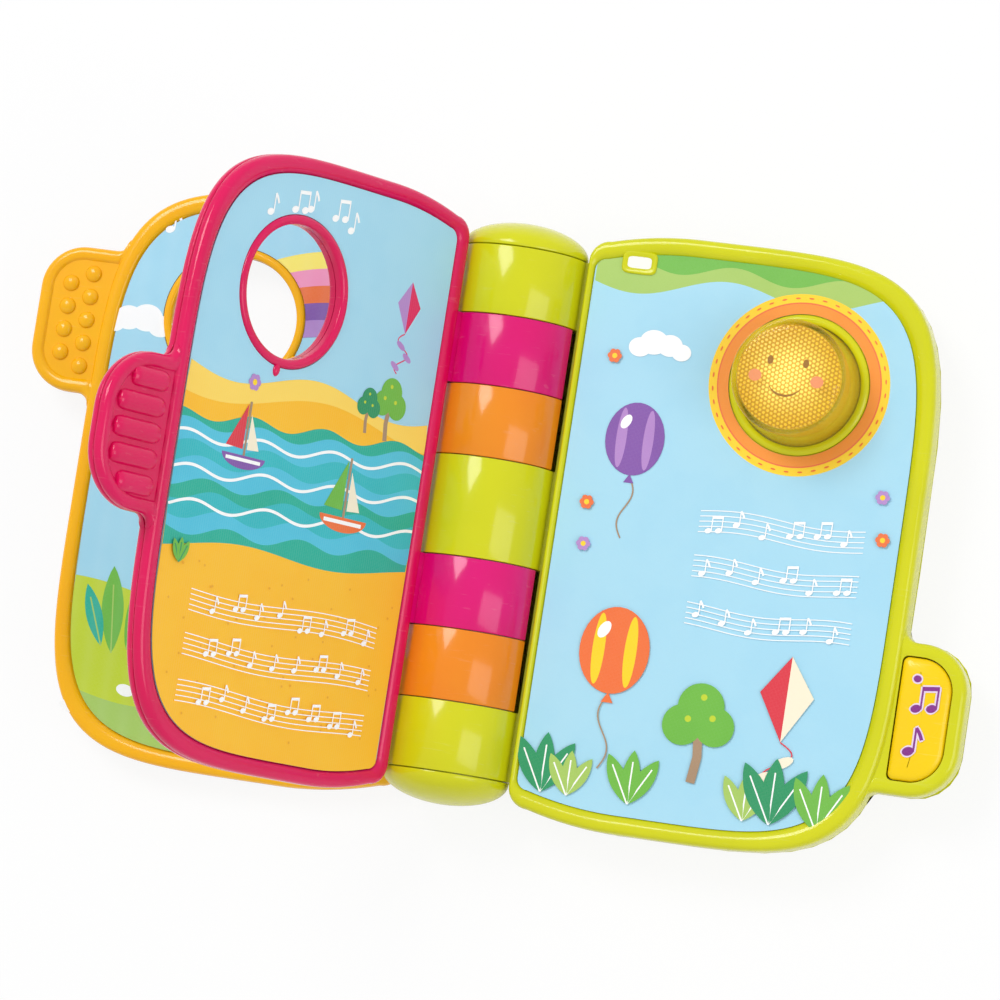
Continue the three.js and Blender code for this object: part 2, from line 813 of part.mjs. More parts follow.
// Electronics
function circuitBoard() {
  const base = block(
    [lampX - boardLength / 2, lampY - boardWidth / 2, boardHeight],
    [lampX + boardLength / 2, lampY + boardWidth / 2, boardHeight + boardThickness],
  );
  const bossRadius = screwHeadRadius + 2 * gap + bossWall;
  return geometryOf(cut(base, screwBosses(0, housingTop, bossRadius)));
}

function speakerFrame() {
  const low = floorThickness + gap;
  return geometryOf(turnedUp([
    [speakerRadius, low], [speakerRadius, low + 1.4], [speakerRadius - 3, low + 2], [10, low + 6], [4, low + 6],
    [4, low + 5], [9, low + 4.6], [speakerRadius - 4, low + 1], [speakerRadius - 4, low],
  ], speakerX, speakerY, 20));
}

function speakerMagnet() {
  const low = floorThickness + 6 + 2 * gap;
  return geometryOf(turnedUp([
    [0, low], [8.5, low], [8.5, low + speakerDepth - 5], [0, low + speakerDepth - 5],
  ], speakerX, speakerY, 16));
}

function keyDome(x, y, radius, low, high) {
  return geometryOf(turnedUp([
    [0, low], [radius, low], [radius * 0.9, high - 0.4], [radius * 0.6, high], [0, high],
  ], x, y, 12));
}

function powerSlider() {
  const flangeLow = floorThickness + gap;
  const knob = block(
    [sliderX - sliderWidth / 2, sliderY - sliderWidth / 2, 0.5],
    [sliderX + sliderWidth / 2, sliderY + sliderWidth / 2, flangeLow + 0.5],
  );
  const flange = block(
    [sliderX - sliderWidth, sliderY - sliderWidth, flangeLow],
    [sliderX + sliderWidth, sliderY + sliderWidth, flangeLow + 1.4],
  );
  return geometryOf(join(knob, flange));
}

// Assembly
const soundBook = new THREE.Group();

function place(parent, name, geometry, material) {
  const mesh = new THREE.Mesh(geometry, material);
  mesh.name = name;
  parent.add(mesh);
}

place(soundBook, 'front_housing', frontHousing(), lime);
place(soundBook, 'rear_housing', rearHousing(), lime);
place(soundBook, 'spine_top_cap', spineCap(1), lime);
place(soundBook, 'spine_bottom_cap', spineCap(-1), lime);
place(soundBook, 'spine_core', spineCore(), beige);
place(soundBook, 'panel_print', printSheet(housingLeft, panelRim, rootRim, plateTop + gap, [
  post(lampX, lampY, lensRadius + bezelWidth + 2 * gap, plateTop, housingTop, 32),
  windowCut(gap, plateTop, housingTop),
]), sky);
place(soundBook, 'page_window', geometryOf(windowCut(-gap, plateUnder, housingTop - 0.6)), white);
place(soundBook, 'lamp_bezel', lampBezel(), lime);
place(soundBook, 'lamp_lens', lampLens(), amber);
place(soundBook, 'lamp_reflector', lampReflector(), yellow);
place(soundBook, 'note_button', noteButton(), yellow);
place(soundBook, 'power_slider', powerSlider(), dark);
place(soundBook, 'battery_door', batteryDoor(), lime);
place(soundBook, 'battery_door_screw', screw(doorScrewX, doorY, headRecess - screwHeadHeight - gap, trayHeight - 1), steel);
place(soundBook, 'battery_1', battery(1), dark);
place(soundBook, 'battery_2', battery(-1), dark);
place(soundBook, 'battery_contact_inner', batteryContact(-1), steel);
place(soundBook, 'battery_contact_outer', batteryContact(1), steel);
place(soundBook, 'circuit_board', circuitBoard(), board);

const boardTop = boardHeight + boardThickness + gap;
place(soundBook, 'lamp_emitter', keyDome(lampX, lampY, 3, boardTop, boardTop + emitterHeight), white);
place(soundBook, 'lamp_switch_dome', keyDome(
  lampX - lensRadius, lampY, 2.2, boardTop, lensFloor - lampTravel - gap,
), dark);
place(soundBook, 'speaker_frame', speakerFrame(), dark);
place(soundBook, 'speaker_magnet', speakerMagnet(), steel);
screwPlaces.forEach(([x, y], k) => {
  place(soundBook, `case_screw_${k + 1}`, screw(x, y, screwDepth, plateUnder - 2.2), steel);
});

const pages = [
  {
    name: 'pink_page', root: pinkRoot, lift: pinkLift, angle: pinkRestAngle, order: 1,
    tab: { centre: 0, reach: pinkTabReach, corner: pinkTabCorner }, material: pink, extras: ribs,
  },
  {
    name: 'orange_page', root: orangeRoot, lift: orangeLift, angle: orangeRestAngle, order: -1,
    tab: { centre: tabPitch, reach: tabReach, corner: tabCorner }, material: orange, extras: bumps,
  },
];

pages.forEach(({ name, root, lift, angle, order, tab, material, extras }) => {
  const page = new THREE.Group();
  page.position.z = barrelRadius;
  page.rotation.y = -angle / 360 * fullTurn;
  place(page, `${name}_front`, pageFront(root, lift, tab, order, angle, extras(tab)), material);
  place(page, `${name}_back`, pageBack(root, lift, tab, extras(tab)), material);
  place(page, `${name}_print_front`, pagePrint(root, lift, false), sky);
  place(page, `${name}_print_back`, pagePrint(root, lift, true), sky);
  soundBook.add(page);
});

export default soundBook;
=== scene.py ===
"""A sound book for a small child, open on its back: smooth moulded shells, printed pictures, lamp and plastics.

Shapes are worked out in millimetres with numpy and put into meshes in metres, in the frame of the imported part:
+X across the housing from the spine, +Y along the spine, +Z up. A page is worked out closed on the panel,
as u across, y along and w up from the spine's axis, and then turned by its rest angle.
"""

import json
import math

import bmesh
import bpy
import numpy as np
from mathutils import Matrix, Vector

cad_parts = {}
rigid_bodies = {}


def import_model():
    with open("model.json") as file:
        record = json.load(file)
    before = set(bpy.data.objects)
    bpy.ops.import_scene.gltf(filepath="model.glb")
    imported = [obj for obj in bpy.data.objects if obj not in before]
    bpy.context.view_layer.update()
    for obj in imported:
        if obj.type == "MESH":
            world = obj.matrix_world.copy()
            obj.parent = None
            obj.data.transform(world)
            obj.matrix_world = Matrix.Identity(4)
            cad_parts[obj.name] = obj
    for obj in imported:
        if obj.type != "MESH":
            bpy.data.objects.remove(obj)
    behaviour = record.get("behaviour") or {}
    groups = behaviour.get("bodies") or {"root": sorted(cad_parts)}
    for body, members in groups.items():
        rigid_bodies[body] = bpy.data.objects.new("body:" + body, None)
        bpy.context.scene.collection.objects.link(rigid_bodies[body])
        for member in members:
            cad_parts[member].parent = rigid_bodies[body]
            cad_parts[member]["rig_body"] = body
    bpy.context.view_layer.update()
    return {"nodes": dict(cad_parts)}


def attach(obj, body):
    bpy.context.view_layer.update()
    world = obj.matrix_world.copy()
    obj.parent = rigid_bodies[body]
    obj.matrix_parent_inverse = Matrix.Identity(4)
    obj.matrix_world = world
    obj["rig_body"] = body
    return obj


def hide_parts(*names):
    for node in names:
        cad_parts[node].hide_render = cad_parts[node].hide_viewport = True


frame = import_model()

# Sizes in millimetres, as the solids have them, apart from PAGE_ROOT_RIM, which is 2.6 there
GAP = 0.3
BARREL_RADIUS = 21.5
BARREL_BORE = 19.3
HALF_BARREL = 88.5
CAP_DEPTH = 10.5
SLOT_CENTRE, SLOT_LENGTH = 41.0, 48.4
SLOT_LOW, SLOT_HIGH = SLOT_CENTRE - SLOT_LENGTH / 2, SLOT_CENTRE + SLOT_LENGTH / 2
SLEEVE_RADIUS, SLEEVE_LENGTH, SLEEVE_ARC, SLEEVE_EDGE = 21.4, 23.75, 300.0, 10.0
OUTER_REACH, HALF_HEIGHT, CREST_REACH = 147.8, 100.6, 60.0
CORNER_POWER, TOP_FALL, INNER_CORNER = 4.8, 0.0044, 7.0
HOUSING_LEFT, HOUSING_TOP, SPLIT_HEIGHT, STRIP_HEIGHT = 22.8, 26.3, 13.5, 22.6
PANEL_RIM, PAGE_RIM, ROOT_RIM = 6.0, 5.4, 2.6
PAGE_ROOT_RIM = 6.0
PLATE_TOP, PLATE_UNDER = 24.6, 22.4
NECK_RADIUS, SLEEVE_CLEARANCE_RADIUS, WEB_RADIUS = 21.2, 21.9, 20.2
PANEL_FACE = 25.3
PAGE_THICKNESS, PRINT_DEPTH, SHELL_DEPTH = 7.2, 1.0, 3.45
HOLE_RADIUS, HOLE_RING_RADIUS = 21.9, 25.0
TAB_REACH, TAB_HALF, TAB_CORNER, TAB_FLARE = 23.0, 25.4, 15.0, 4.5
TAB_PITCH, TAB_RIM = 49.0, 4.4
PINK_TAB_REACH, PINK_TAB_CORNER = 28.0, 20.0
LAMP = np.array([100.5, 55.8])
LENS_RADIUS, LENS_TOP_RADIUS, LENS_TOP, LENS_ROUND, LENS_WALL = 20.4, 19.2, 49.0, 4.0, 1.7
NOTE_START, NOTE_INSET, NOTE_CORNER = 148.4, 5.0, 16.0
PAGES = {
    "pink_page": dict(root=21.7, lift=5.3, angle=117.6, order=1, nub=-84.0,
                      tab=(0.0, PINK_TAB_REACH, PINK_TAB_CORNER)),
    "orange_page": dict(root=18.4, lift=13.0, angle=176.7, order=-1, nub=206.0,
                        tab=(TAB_PITCH, TAB_REACH, TAB_CORNER)),
}

# The camera's turns in radians and its offset, found by fitting the outline's corners
CAMERA_TURNS = ((-0.1309, "Z"), (-0.2508, "Y"), (-0.0885, "X"))
CAMERA_OFFSET = (-18.2359, -91.7116, -1676.4039)

# How white the room is to what it lights and where it is mirrored, and the floor's share of plain white
LIGHTING_WHITE, MIRRORED_WHITE, FLOOR_WHITE = 0.62, 0.35, 0.88
FLOOR_HALF = 3.0
SPECULAR, COAT_ROUGHNESS, INK_DOTS = 0.22, 0.07, 0.05
SHEET_THICKNESS = 0.35

# Colours of the plastics and inks, as they look in the photograph
LIME = (213, 214, 20)
PINK = (222, 8, 90)
SLEEVE_PINK = (224, 6, 118)
PAGE_ORANGE = (255, 188, 4)
SLEEVE_ORANGE = (240, 143, 28)
SKY = (166, 219, 241)
SAND, PALE_SAND, SPECK = (254, 192, 20), (255, 217, 92), (240, 170, 20)
TEAL, WATER, AQUA = (17, 176, 152), (78, 196, 224), (42, 187, 196)
LEAF, GRASS, PINE, MEADOW = (110, 186, 62), (168, 203, 97), (31, 150, 96), (196, 214, 40)
WHITE, CREAM, RED = (255, 255, 255), (250, 240, 214), (222, 48, 66)
VIOLET, MAUVE, CORAL = (132, 84, 170), (181, 136, 204), (240, 112, 46)
RING_ORANGE, RING_YELLOW, BROWN = (247, 148, 30), (255, 214, 0), (170, 140, 110)


def linear(colour):
    """An 8-bit display colour as linear light: the usual power of 2.2 with its straight foot."""
    share = np.asarray(colour, float) / 255
    return tuple(np.where(share <= 0.04045, share / 12.92, ((share + 0.055) / 1.055) ** 2.4)) + (1.0,)


# ---------------------------------------------------------------- camera, lamps and floor
def camera_matrix():
    """Turn and place of the camera: three small turns about the barrel's lower end, and an offset."""
    turn = Matrix.Identity(3)
    for angle, axis in CAMERA_TURNS:
        turn = turn @ Matrix.Rotation(angle, 3, axis)
    place = -(turn.transposed() @ Vector(CAMERA_OFFSET)) + Vector((0.0, -HALF_BARREL, BARREL_RADIUS))
    return Matrix.Translation(place * 0.001) @ turn.transposed().to_4x4()


def add_camera():
    camera = bpy.data.cameras.new("camera")
    camera.sensor_width = 36
    camera.lens = 180
    camera.clip_start, camera.clip_end = 0.1, 20
    view = bpy.data.objects.new("camera", camera)
    view.matrix_world = camera_matrix()
    bpy.context.scene.collection.objects.link(view)
    bpy.context.scene.camera = view


def add_lamp(name, place, aim, size, power):
    lamp = bpy.data.lights.new(name, "AREA")
    lamp.shape = "RECTANGLE"
    lamp.size, lamp.size_y = size
    lamp.energy = power
    holder = bpy.data.objects.new(name, lamp)
    direction = Vector(aim) - Vector(place)
    holder.matrix_world = Matrix.Translation(place) @ direction.to_track_quat("-Z", "Y").to_matrix().to_4x4()
    bpy.context.scene.collection.objects.link(holder)


class Nodes:
    """A node tree under work: add() makes a node with its settings, and sets or links its inputs."""

    def __init__(self, tree):
        self.tree = tree
        tree.nodes.clear()

    def add(self, kind, inputs=None, **settings):
        node = self.tree.nodes.new(kind)
        for key, value in settings.items():
            setattr(node, key, value)
        for key, value in (inputs or {}).items():
            if isinstance(value, bpy.types.NodeSocket):
                self.tree.links.new(value, node.inputs[key])
            else:
                node.inputs[key].default_value = value
        return node

    def math(self, operation, *values):
        return self.add("ShaderNodeMath", dict(enumerate(values)), operation=operation).outputs[0]

    def mix(self, share, first, second, blend="MIX"):
        node = self.add("ShaderNodeMix", {0: share, 6: first, 7: second}, data_type="RGBA", blend_type=blend)
        return node.outputs[2]

    def spread(self, value, low, high, to_low=0.0, to_high=1.0):
        inputs = {0: value, 1: low, 2: high, 3: to_low, 4: to_high}
        return self.add("ShaderNodeMapRange", inputs, interpolation_type="SMOOTHSTEP").outputs[0]

    def place(self):
        return self.add("ShaderNodeTexCoord").outputs["Object"]

    def noise(self, place, scale, detail=2.0):
        return self.add("ShaderNodeTexNoise", {"Vector": place, "Scale": scale, "Detail": detail}).outputs[0]

    def bump(self, height, strength, distance):
        inputs = {"Height": height, "Strength": strength, "Distance": distance}
        return self.add("ShaderNodeBump", inputs).outputs[0]

    def seen(self):
        """How much of its plain white a ray sees: all from the camera and through clear parts, some if mirrored."""
        path = self.add("ShaderNodeLightPath").outputs
        direct = self.math("MAXIMUM", path["Is Camera Ray"], path["Is Transmission Ray"])
        return self.math("MAXIMUM", direct, self.math("MULTIPLY", path["Is Glossy Ray"], MIRRORED_WHITE))

    def effect(self, group, values):
        """Places a shared effect, and gives what it puts out as the inputs of a surface."""
        given = self.add("ShaderNodeGroup", values, node_tree=group).outputs
        inputs = {"Base Color": given["Color"], "Roughness": given["Roughness"], "Normal": given["Normal"]}
        return {**inputs, "Specular IOR Level": SPECULAR}

    def surface(self, inputs):
        shader = self.add("ShaderNodeBsdfPrincipled", inputs)
        self.add("ShaderNodeOutputMaterial", {"Surface": shader.outputs[0]})


def add_world():
    """A soft white room: white to the camera and through clear parts, less bright where it lights or is mirrored."""
    world = bpy.data.worlds.new("white room")
    world.use_nodes = True
    bpy.context.scene.world = world
    work = Nodes(world.node_tree)
    strength = work.math("ADD", work.math("MULTIPLY", work.seen(), 1 - LIGHTING_WHITE), LIGHTING_WHITE)
    background = work.add("ShaderNodeBackground", {"Color": (1, 1, 1, 1), "Strength": strength})
    work.add("ShaderNodeOutputWorld", {"Surface": background.outputs[0]})


def add_floor():
    """A white floor that keeps part of the object's shadow."""
    half = FLOOR_HALF
    mesh = bpy.data.meshes.new("floor")
    mesh.from_pydata([(-half, -half, 0), (half, -half, 0), (half, half, 0), (-half, half, 0)], [], [(0, 1, 2, 3)])
    material = bpy.data.materials.new("floor white")
    material.use_nodes = True
    work = Nodes(material.node_tree)
    paint = work.add("ShaderNodeBsdfDiffuse", {"Color": (0.92, 0.92, 0.92, 1)})
    white = work.add("ShaderNodeEmission", {"Color": (1, 1, 1, 1), "Strength": 1.0})
    share = work.math("MULTIPLY", work.seen(), FLOOR_WHITE)
    mixed = work.add("ShaderNodeMixShader", {0: share, 1: paint.outputs[0], 2: white.outputs[0]})
    work.add("ShaderNodeOutputMaterial", {"Surface": mixed.outputs[0]})
    mesh.materials.append(material)
    floor = bpy.data.objects.new("floor", mesh)
    bpy.context.scene.collection.objects.link(floor)


# ---------------------------------------------------------------- shared effects and materials
def new_group(name, inputs, outputs):
    group = bpy.data.node_groups.new(name, "ShaderNodeTree")
    for socket, kind, value in inputs:
        made = group.interface.new_socket(socket, in_out="INPUT", socket_type=kind)
        made.default_value = value
    for socket, kind in outputs:
        group.interface.new_socket(socket, in_out="OUTPUT", socket_type=kind)
    work = Nodes(group)
    return group, work, work.add("NodeGroupInput").outputs


HONEYCOMB_PITCH = 0.0015  # metres from one hollow of the reflector to the next
FLOAT, COLOUR, VECTOR = "NodeSocketFloat", "NodeSocketColor", "NodeSocketVector"


def moulded_skin():
    """Moulded plastic: slow colour and gloss drift, fine orange peel in the surface, and a few faint scuffs."""
    group, work, given = new_group(
        "moulded skin",
        [("Color", COLOUR, (1, 1, 1, 1)), ("Roughness", FLOAT, 0.25), ("Peel", FLOAT, 0.1), ("Scuffs", FLOAT, 0.2)],
        [("Color", COLOUR), ("Roughness", FLOAT), ("Normal", VECTOR)],
    )
    place = work.place()
    drift = work.noise(place, 26.0, 3.0)
    peel = work.noise(place, 520.0, 2.0)
    stretched = work.add("ShaderNodeMapping", {0: place, 3: (90.0, 900.0, 300.0)}).outputs[0]
    scratch = work.noise(stretched, 1.0, 4.0)
    scuff = work.math("MULTIPLY", work.spread(scratch, 0.62, 0.74), given["Scuffs"])
    shaded = work.mix(work.spread(drift, 0.35, 0.65, 0.0, 0.16), given["Color"], (0.0, 0.0, 0.0, 1), "SOFT_LIGHT")
    tint = work.mix(work.math("MULTIPLY", scuff, 0.12), shaded, (1, 1, 1, 1))
    rough = work.math("ADD", given["Roughness"], work.spread(drift, 0.3, 0.7, -0.03, 0.04))
    rough = work.math("ADD", rough, work.math("MULTIPLY", scuff, 0.25))
    height = work.math("ADD", work.math("MULTIPLY", peel, given["Peel"]), work.math("MULTIPLY", scuff, -0.3))
    bump = work.bump(height, 0.25, 0.0002)
    work.add("NodeGroupOutput", {"Color": tint, "Roughness": rough, "Normal": bump})
    return group


def printed_ink():
    """Printed sheet: ink laid in fine dots, a little uneven, under a satin film with a faint weave."""
    group, work, given = new_group(
        "printed ink",
        [("Color", COLOUR, (1, 1, 1, 1)), ("Dots", FLOAT, 0.08)],
        [("Color", COLOUR), ("Roughness", FLOAT), ("Normal", VECTOR)],
    )
    place = work.place()
    screen = work.add("ShaderNodeTexVoronoi", {"Vector": place, "Scale": 2200.0, "Randomness": 0.15}).outputs[0]
    cloudy = work.noise(place, 60.0, 4.0)
    film = work.noise(place, 900.0, 2.0)
    dots = work.math("MULTIPLY", work.spread(screen, 0.25, 0.55), given["Dots"])
    inked = work.mix(dots, given["Color"], (1, 1, 1, 1))
    inked = work.mix(work.spread(cloudy, 0.4, 0.65, 0.0, 0.08), inked, (0.05, 0.05, 0.05, 1), "SOFT_LIGHT")
    rough = work.spread(cloudy, 0.3, 0.7, 0.33, 0.42)
    bump = work.bump(film, 0.12, 0.0001)
    work.add("NodeGroupOutput", {"Color": inked, "Roughness": rough, "Normal": bump})
    return group


SKIN = moulded_skin()
INK = printed_ink()


def new_material(name):
    material = bpy.data.materials.new(name)
    material.use_nodes = True
    return material, Nodes(material.node_tree)


def plastic(name, colour, roughness=0.24, peel=0.12, scuffs=0.25, coat=0.0, emission=0.0):
    """A moulded plastic: the shared skin in a Principled surface, with a light coat on the glossy ones."""
    material, work = new_material(name)
    inputs = work.effect(SKIN, {"Color": linear(colour), "Roughness": roughness, "Peel": peel, "Scuffs": scuffs})
    inputs.update({"Coat Weight": coat, "Coat Roughness": COAT_ROUGHNESS})
    if emission:
        inputs.update({"Emission Color": linear(colour), "Emission Strength": emission})
    work.surface(inputs)
    return material


def ink_material():
    """Ink by the piece's own colour attribute."""
    material, work = new_material("printed picture")
    colour = work.add("ShaderNodeAttribute", attribute_name="ink").outputs["Color"]
    work.surface(work.effect(INK, {"Color": colour, "Dots": INK_DOTS}))
    return material


def lens_material():
    """Clear amber plastic: see-through, denser where it is seen edge on, with flow marks from its moulding, and a
    faint painted glow of its own, though it is no lamp.
    """
    material, work = new_material("clear amber")
    place = work.place()
    flow = work.noise(place, 90.0, 3.0)
    bump = work.bump(flow, 0.15, 0.0004)
    facing = work.add("ShaderNodeLayerWeight", {"Blend": 0.35}).outputs["Facing"]
    dense = work.math("ADD", work.spread(facing, 0.1, 0.95, 0.08, 0.62), work.spread(flow, 0.35, 0.7, 0.0, 0.06))
    tint = work.mix(work.spread(flow, 0.35, 0.7), linear((250, 206, 48)), linear((232, 178, 30)))
    rough = work.spread(flow, 0.3, 0.7, 0.04, 0.09)
    inputs = {"Base Color": tint, "Roughness": rough, "Alpha": dense, "Normal": bump}
    # Painted glow: the amber gives off a little light in its own tint, standing in for light inside the cup.
    inputs.update({"Emission Color": tint, "Emission Strength": 0.14})
    work.surface(inputs)
    return material


def honeycomb_material():
    """Yellow reflector pressed in small cells. Three cosine waves 60 degrees apart add up to round hollows in a
    hexagonal pattern, each HONEYCOMB_PITCH from the next. The hollows take a darker yellow as painted shade, and the
    disc carries a painted glow, paler and giving off light of its own towards its middle, though it is no lamp."""
    material, work = new_material("honeycomb reflector")
    place = work.place()
    centred = work.add("ShaderNodeMapping", {0: place, 1: (-LAMP[0] / 1000, -LAMP[1] / 1000, 0.0)}).outputs[0]
    across, along, _ = work.add("ShaderNodeSeparateXYZ", {0: centred}).outputs
    rate = 4 * math.pi / (math.sqrt(3) * HONEYCOMB_PITCH)
    cells = 0.0
    for turn in (0, math.pi / 3, 2 * math.pi / 3):
        first = work.math("MULTIPLY", across, rate * math.cos(turn))
        second = work.math("MULTIPLY", along, rate * math.sin(turn))
        cells = work.math("ADD", cells, work.math("COSINE", work.math("ADD", first, second)))
    squares = [work.math("MULTIPLY", part, part) for part in (across, along)]
    distance = work.math("SQRT", work.math("ADD", *squares))
    # Painted glow: the colour turns paler towards the disc's middle.
    glow = work.spread(distance, 0.002, 0.016, 1.0, 0.0)
    hollow = work.spread(cells, -1.3, 0.6)
    warm = work.mix(glow, linear((247, 205, 30)), linear((255, 240, 120)))
    # Painted shade: the hollows of the cells take the darker yellow.
    colour = work.mix(hollow, linear((206, 148, 10)), warm)
    bump = work.bump(hollow, 0.9, -0.0006)
    # Painted glow: light of its own, strongest on the ridges near the middle and fading outwards.
    fading = work.spread(distance, 0.001, 0.017, 0.75, 0.12)
    light = work.math("MULTIPLY", fading, work.spread(cells, -1.3, 0.6, 0.4, 1.0))
    painted_glow_colour = work.mix(light, (0, 0, 0, 1), linear((255, 236, 130)))
    inputs = {"Base Color": colour, "Roughness": work.spread(cells, -1.3, 1.5, 0.5, 0.3), "Normal": bump}
    inputs.update({"Emission Color": painted_glow_colour, "Emission Strength": 1.0})
    work.surface(inputs)
    return material


def metal(name, colour, roughness, scale):
    """Plated or brushed metal: fine lines that shift its gloss, and a slow stain."""
    material, work = new_material(name)
    place = work.place()
    lines = work.add("ShaderNodeMapping", {0: place, 3: scale}).outputs[0]
    brushed = work.noise(lines, 1.0, 4.0)
    stain = work.noise(place, 140.0, 3.0)
    tint = work.mix(work.spread(stain, 0.4, 0.7, 0.0, 0.35), linear(colour), linear([part * 0.7 for part in colour]))
    rough = work.math("ADD", work.spread(brushed, 0.3, 0.7, -0.08, 0.12), roughness)
    bump = work.bump(brushed, 0.2, 0.0001)
    inputs = {"Base Color": tint, "Roughness": rough, "Metallic": 1.0, "Normal": bump}
    work.surface(inputs)
    return material


def board_material():
    """Green solder mask with paler copper tracks under it, in a grid of bends."""
    material, work = new_material("circuit board green")
    place = work.place()
    bend = work.add("ShaderNodeTexNoise", {"Vector": place, "Scale": 110.0}).outputs[1]
    bent = work.mix(0.004, place, bend, "ADD")
    tracks = work.add("ShaderNodeTexBrick", {"Vector": bent, "Scale": 190.0, "Mortar Size": 0.05}).outputs["Fac"]
    colour = work.mix(work.math("MULTIPLY", tracks, 0.6), linear((38, 112, 62)), linear((112, 168, 84)))
    bump = work.bump(tracks, 0.3, 0.0001)
    inputs = {"Base Color": colour, "Roughness": work.spread(tracks, 0.0, 1.0, 0.3, 0.45), "Normal": bump}
    work.surface(inputs)
    return material


def battery_material():
    """A cell's sleeve: dark film with a copper end band across its length, and fine rolling lines."""
    material, work = new_material("battery sleeve")
    place = work.place()
    across = work.add("ShaderNodeSeparateXYZ", {0: place}).outputs[0]
    band = work.spread(across, 0.0985, 0.0990)
    lines = work.noise(place, 800.0)
    colour = work.mix(band, linear((40, 40, 44)), linear((196, 120, 62)))
    rough = work.math("ADD", work.spread(lines, 0.3, 0.7, 0.0, 0.12), 0.26)
    inputs = {"Base Color": colour, "Roughness": rough, "Metallic": 0.75}
    work.surface(inputs)
    return material


GLOSS = dict(roughness=0.17, coat=0.3)
lime = plastic("lime gloss plastic", LIME, **GLOSS)
lime_satin = plastic("lime satin plastic", LIME, roughness=0.55, peel=0.4)
pink = plastic("pink gloss plastic", PINK, **GLOSS)
sleeve_pink = plastic("deep pink gloss plastic", SLEEVE_PINK, **GLOSS)
page_orange = plastic("orange gloss plastic", PAGE_ORANGE, **GLOSS)
sleeve_orange = plastic("deep orange gloss plastic", SLEEVE_ORANGE, **GLOSS)
button_yellow = plastic("yellow button plastic", (250, 212, 12), roughness=0.26, coat=0.2)
beige = plastic("beige core plastic", (206, 196, 172), roughness=0.45, peel=0.3)
white_plastic = plastic("white window plastic", (246, 246, 240), roughness=0.3)
dark_plastic = plastic("dark plastic", (40, 40, 44), roughness=0.5, peel=0.5)
dark_rubber = plastic("dark rubber", (30, 30, 30), roughness=0.75, peel=0.9, scuffs=0.1)
emitter_white = plastic("warm lamp plastic", (255, 244, 200), roughness=0.2, emission=0.6)
picture = ink_material()
amber = lens_material()
honeycomb = honeycomb_material()
steel = metal("zinc plated steel", (196, 199, 202), 0.3, (1500.0, 1500.0, 60.0))
magnet_metal = metal("magnet steel", (150, 152, 156), 0.38, (60.0, 60.0, 2500.0))
board_green = board_material()
cell_sleeve = battery_material()


# ---------------------------------------------------------------- outlines and surfaces
def rounded(profile, rounds=2):
    """Corner cutting: each step puts two points a quarter in from the ends of every stretch; the ends stay."""
    points = np.asarray(profile, float)
    for _ in range(rounds):
        near = 0.75 * points[:-1] + 0.25 * points[1:]
        far = 0.25 * points[:-1] + 0.75 * points[1:]
        middle = np.stack([near, far], 1).reshape(-1, points.shape[1])
        points = np.vstack([points[:1], middle, points[-1:]])
    return points


def outline(root, inset, root_inset, steps=72):
    """The page's outline: a superellipse of power 4.8 to the outer edge, stepped by its polar angle, a parabola that
    falls to the spine, and a quarter circle at each inner corner. It runs anticlockwise from the bottom crest."""
    half, reach = HALF_HEIGHT - inset, OUTER_REACH - CREST_REACH - inset
    left, corner = root + root_inset, max(INNER_CORNER - inset / 2, 2.0)
    turn = np.pi * (np.linspace(0, 1, 2 * steps + 1) - 0.5)
    size = (np.abs(np.cos(turn) / reach) ** CORNER_POWER + np.abs(np.sin(turn) / half) ** CORNER_POWER)
    across = CREST_REACH + np.cos(turn) * size ** (-1 / CORNER_POWER)
    along = np.sin(turn) * size ** (-1 / CORNER_POWER)
    fall_from, fall_to = CREST_REACH, left + corner
    top_x = np.linspace(fall_from, fall_to, 14)[1:]
    top_y = half - TOP_FALL * (CREST_REACH - top_x) ** 2
    arc = np.linspace(0, np.pi / 2, 9)[1:]
    corner_x, corner_y = fall_to - corner * np.sin(arc), top_y[-1] - corner + corner * np.cos(arc)
    root_y = np.linspace(1, -1, 60)[1:-1] * corner_y[-1]
    x = np.concatenate([across, top_x, corner_x, np.full(58, left), corner_x[::-1], top_x[::-1]])
    y = np.concatenate([along, top_y, corner_y, root_y, -corner_y[::-1], -top_y[::-1]])
    return np.stack([x, y], -1)


def edge_reach(y):
    """How far the page's outer edge lies from the spine at a place along it, from the superellipse."""
    share = 1 - (abs(y) / HALF_HEIGHT) ** CORNER_POWER
    return CREST_REACH + (OUTER_REACH - CREST_REACH) * share ** (1 / CORNER_POWER)


def tab_side(centre, side, inset, depth, corner, reach=TAB_REACH, steps=14):
    """Half of a finger tab's outline, from the page to its outer end: a hollow quarter circle that leaves the page's
    edge, a straight side and a quarter circle. The hollow is smaller where the outline is drawn further in."""
    right, half = OUTER_REACH + reach - inset, TAB_HALF - inset
    spread, bend = max(TAB_FLARE - inset, 0.02), max(corner - inset, 2.0)
    edge = edge_reach(centre + side * (half + spread))
    hollow, arc = np.linspace(0, np.pi / 2, 7), np.linspace(np.pi / 2, 0, steps)
    x = np.concatenate([[edge - depth], edge + spread - spread * np.cos(hollow), right - bend + bend * np.cos(arc)])
    y = np.concatenate([[half + spread], half + spread - spread * np.sin(hollow), half - bend + bend * np.sin(arc)])
    return np.stack([x, centre + side * y], -1)


def tab_outline(centre, inset, reach=TAB_REACH, corner=TAB_CORNER, depth=2.4):
    """A finger tab's whole outline: its lower side outwards and its upper side back."""
    lower, upper = (tab_side(centre, side, inset, depth, corner, reach) for side in (-1, 1))
    return np.vstack([lower, upper[::-1]])


